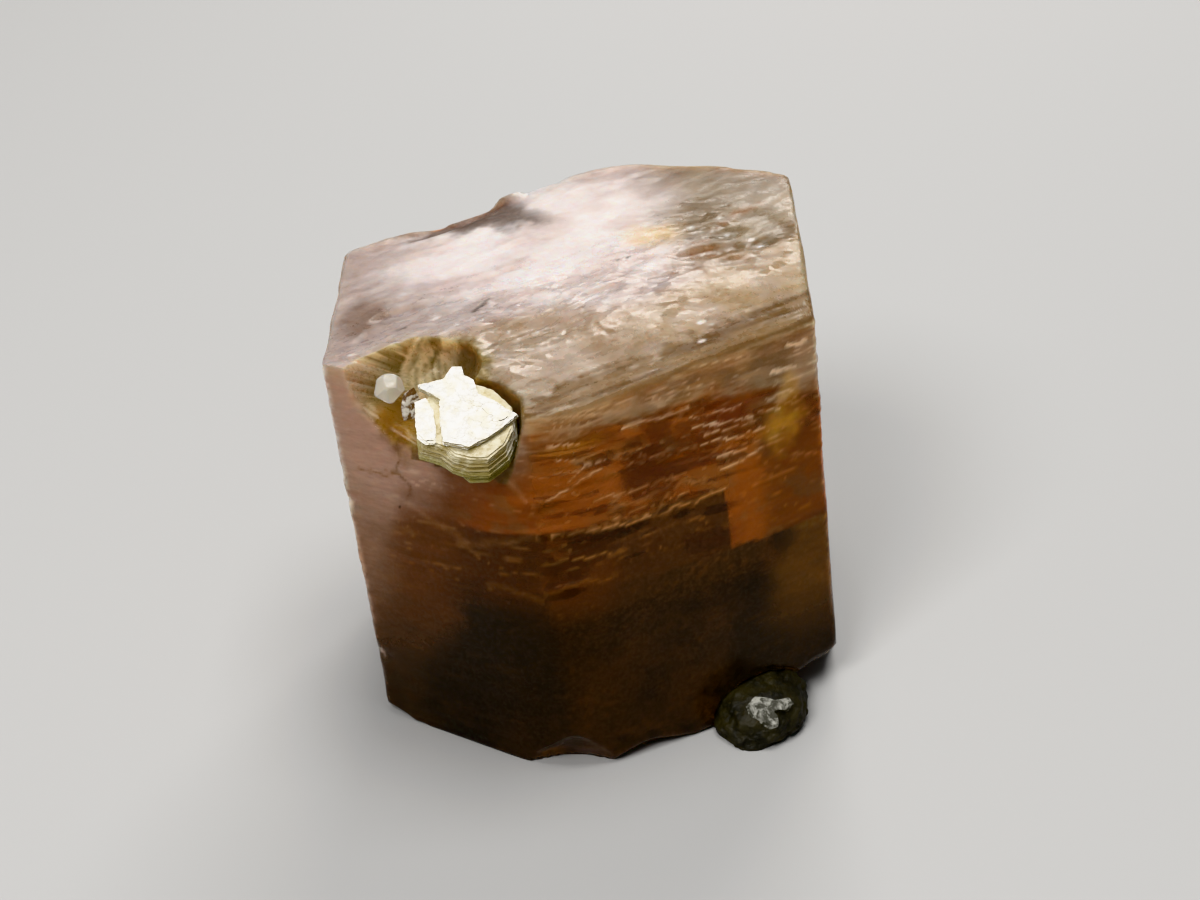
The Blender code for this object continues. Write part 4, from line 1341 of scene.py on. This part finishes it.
def matrix_material():
    g = Graph("matrix")
    P = g.row_place()
    a = g.noise(P, 0.9, 5, 0.6)
    b = g.noise(P, 4.0, 4, 0.65)
    col = g.mix(g.smooth(a, 0.38, 0.62), (0.007, 0.0065, 0.0025), (0.026, 0.022, 0.008))
    col = g.mix(g.smooth(b, 0.55, 0.75, 0.0, 0.5), col, (0.075, 0.062, 0.03))
    s = g.principled(
        Base_Color=col, Roughness=g.mixf(b, 0.42, 0.72), IOR=1.55,
        Normal=g.bump(b, 0.7, 0.00012),
    )
    g.surface(s.outputs[0])
    return g.m


def plate_material():
    g = Graph("dusty_mica")
    P = g.row_place()
    a = g.noise(P, 1.5, 4, 0.7, 0.6)
    b = g.noise(P, 6.0, 3, 0.6)
    col = g.mix(g.smooth(a, 0.40, 0.56), (0.045, 0.044, 0.028), (0.43, 0.425, 0.37))
    s = g.principled(
        Base_Color=col, Roughness=g.mixf(b, 0.35, 0.6), IOR=1.59, Specular_IOR_Level=0.4,
        Normal=g.bump(b, 0.5, 0.00008),
    )
    g.surface(s.outputs[0])
    return g.m


def grain_material():
    g = Graph("pale_mineral")
    P = g.row_place()
    b = g.noise(P, 3.0, 4, 0.6)
    s = g.principled(
        Base_Color=g.mix(b, (0.98, 0.93, 0.84), (0.91, 0.82, 0.69)), Roughness=0.22, IOR=1.54,
        Transmission_Weight=0.50, Subsurface_Weight=0.6, Subsurface_Radius=(0.0009, 0.0008, 0.0006), Subsurface_Scale=1.0,
        Normal=g.bump(b, 0.3, 0.00005),
    )
    g.surface(s.outputs[0])
    return g.m


PLATE = [(-0.95, 0.30), (-0.85, -0.25), (-0.40, -0.55), (0.05, -0.95), (0.50, -0.85),
         (0.55, -0.40), (0.35, -0.12), (0.70, 0.02), (1.05, -0.08), (1.42, 0.28), (1.20, 0.62), (0.55, 0.52), (0.10, 0.70), (-0.50, 0.78)]


def make_knob_plate():
    rot = np.array(Matrix.Rotation(math.radians(6), 3, "Z") @ Matrix.Rotation(math.radians(33), 3, "X"))
    at = np.array([8.50, -9.85, 1.74]) + MIDDLE
    sets = []
    for k, (f, z0, z1) in enumerate(((1.0, -0.17, -0.08), (0.95, -0.07, 0.0), (0.90, 0.01, 0.07), (0.82, 0.08, 0.13))):
        sets.append(sheet_points(scaled(PLATE, f, 0.02 * k, -0.01 * k), z0, z1, 90 + k, 90, 5, 0.04, 0.02))
    p, q, t = join_sets(sets)
    return mesh_object("lump_mica_sheets", p @ rot.T + at, q, t, smooth=False)


FLAKE = [(-0.42, -0.70), (0.30, -0.62), (0.46, 0.10), (0.22, 0.74), (-0.30, 0.52), (-0.50, -0.10)]


def make_flake():
    rot = np.array(Matrix.Rotation(math.radians(24), 3, "Z") @ Matrix.Rotation(math.radians(78), 3, "X"))
    at = np.array([-8.05, -10.15, 19.05]) + MIDDLE
    sets = []
    for k, (f, z0, z1) in enumerate(((1.0, -0.14, -0.05), (0.94, -0.04, 0.05), (0.9, 0.06, 0.14))):
        sets.append(sheet_points(scaled(FLAKE, f), z0, z1, 110 + k, 70, 5, 0.03, 0.03))
    p, q, t = join_sets(sets)
    return mesh_object("small_mica_sheet", p @ rot.T + at, q, t, smooth=False)


# --------------------------------------------------------------------------
# build the pieces
def give(ob, material, node):
    ob.data.materials.clear()
    ob.data.materials.append(material)
    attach(ob, "root")
    if node:
        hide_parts(node)
    return ob


mica = mica_material()
give(make_crystal(), crystal_material(), "apatite_crystal")
give(make_cracks(), crack_material(), None)
give(make_book(), mica, "mica_book")
give(make_flake(), flake_material(), "mica_flake")
give(make_grain(), grain_material(), "pale_grain")
give(make_knob(), matrix_material(), "base_knob")
give(make_knob_plate(), plate_material(), "knob_mica")


# --------------------------------------------------------------------------
# plain pale floor, soft studio light
def floor():
    bm = bmesh.new()
    bmesh.ops.create_grid(bm, x_segments=2, y_segments=2, size=1.2)
    me = bpy.data.meshes.new("floor")
    bm.to_mesh(me)
    bm.free()
    ob = bpy.data.objects.new("floor", me)
    bpy.context.scene.collection.objects.link(ob)
    g = Graph("floor")
    s = g.principled(Base_Color=(0.52, 0.52, 0.515), Roughness=0.75, Specular_IOR_Level=0.2)
    g.surface(s.outputs[0])
    me.materials.append(g.m)


def lamp(name, at, size, power, colour=(1, 1, 1), size_y=None, target=(0, 0, 0.012)):
    d = bpy.data.lights.new(name, "AREA")
    d.shape = "RECTANGLE" if size_y else "SQUARE"
    d.size = size
    if size_y:
        d.size_y = size_y
    d.energy = power
    d.color = colour
    ob = bpy.data.objects.new(name, d)
    bpy.context.scene.collection.objects.link(ob)
    ob.location = at
    ob.rotation_euler = (Vector(target) - Vector(at)).to_track_quat("-Z", "Y").to_euler()
    return ob


def studio():
    w = bpy.data.worlds.new("studio")
    bpy.context.scene.world = w
    w.use_nodes = True
    t = w.node_tree
    t.nodes.clear()
    out = t.nodes.new("ShaderNodeOutputWorld")
    bg = t.nodes.new("ShaderNodeBackground")
    tc = t.nodes.new("ShaderNodeTexCoord")
    sp = t.nodes.new("ShaderNodeSeparateXYZ")
    mr = t.nodes.new("ShaderNodeValToRGB")
    mp = t.nodes.new("ShaderNodeMapRange")
    mp.inputs[1].default_value = -1
    mp.inputs[2].default_value = 1
    mr.color_ramp.elements[0].position = 0.45
    mr.color_ramp.elements[0].color = (0.10, 0.10, 0.10, 1)
    mr.color_ramp.elements[1].position = 1.0
    mr.color_ramp.elements[1].color = (0.75, 0.76, 0.78, 1)
    t.links.new(tc.outputs["Generated"], sp.inputs[0])
    t.links.new(sp.outputs[2], mp.inputs[0])
    t.links.new(mp.outputs[0], mr.inputs[0])
    t.links.new(mr.outputs[0], bg.inputs["Color"])
    bg.inputs["Strength"].default_value = 0.30
    t.links.new(bg.outputs[0], out.inputs[0])
    lamp("overhead", (0.02, 0.0, 0.31), 0.15, 0.46, (1.0, 0.985, 0.96))
    lamp("behind", (0.05, 0.26, 0.20), 0.14, 0.55, (1.0, 0.97, 0.94))
    lamp("front_fill", (-0.12, -0.20, 0.26), 0.12, 0.66, (1.0, 0.985, 0.97))
    bpy.context.scene.view_settings.view_transform = "Khronos PBR Neutral"
    bpy.context.scene.cycles.max_bounces = 9
    bpy.context.scene.cycles.transmission_bounces = 7


floor()
studio()
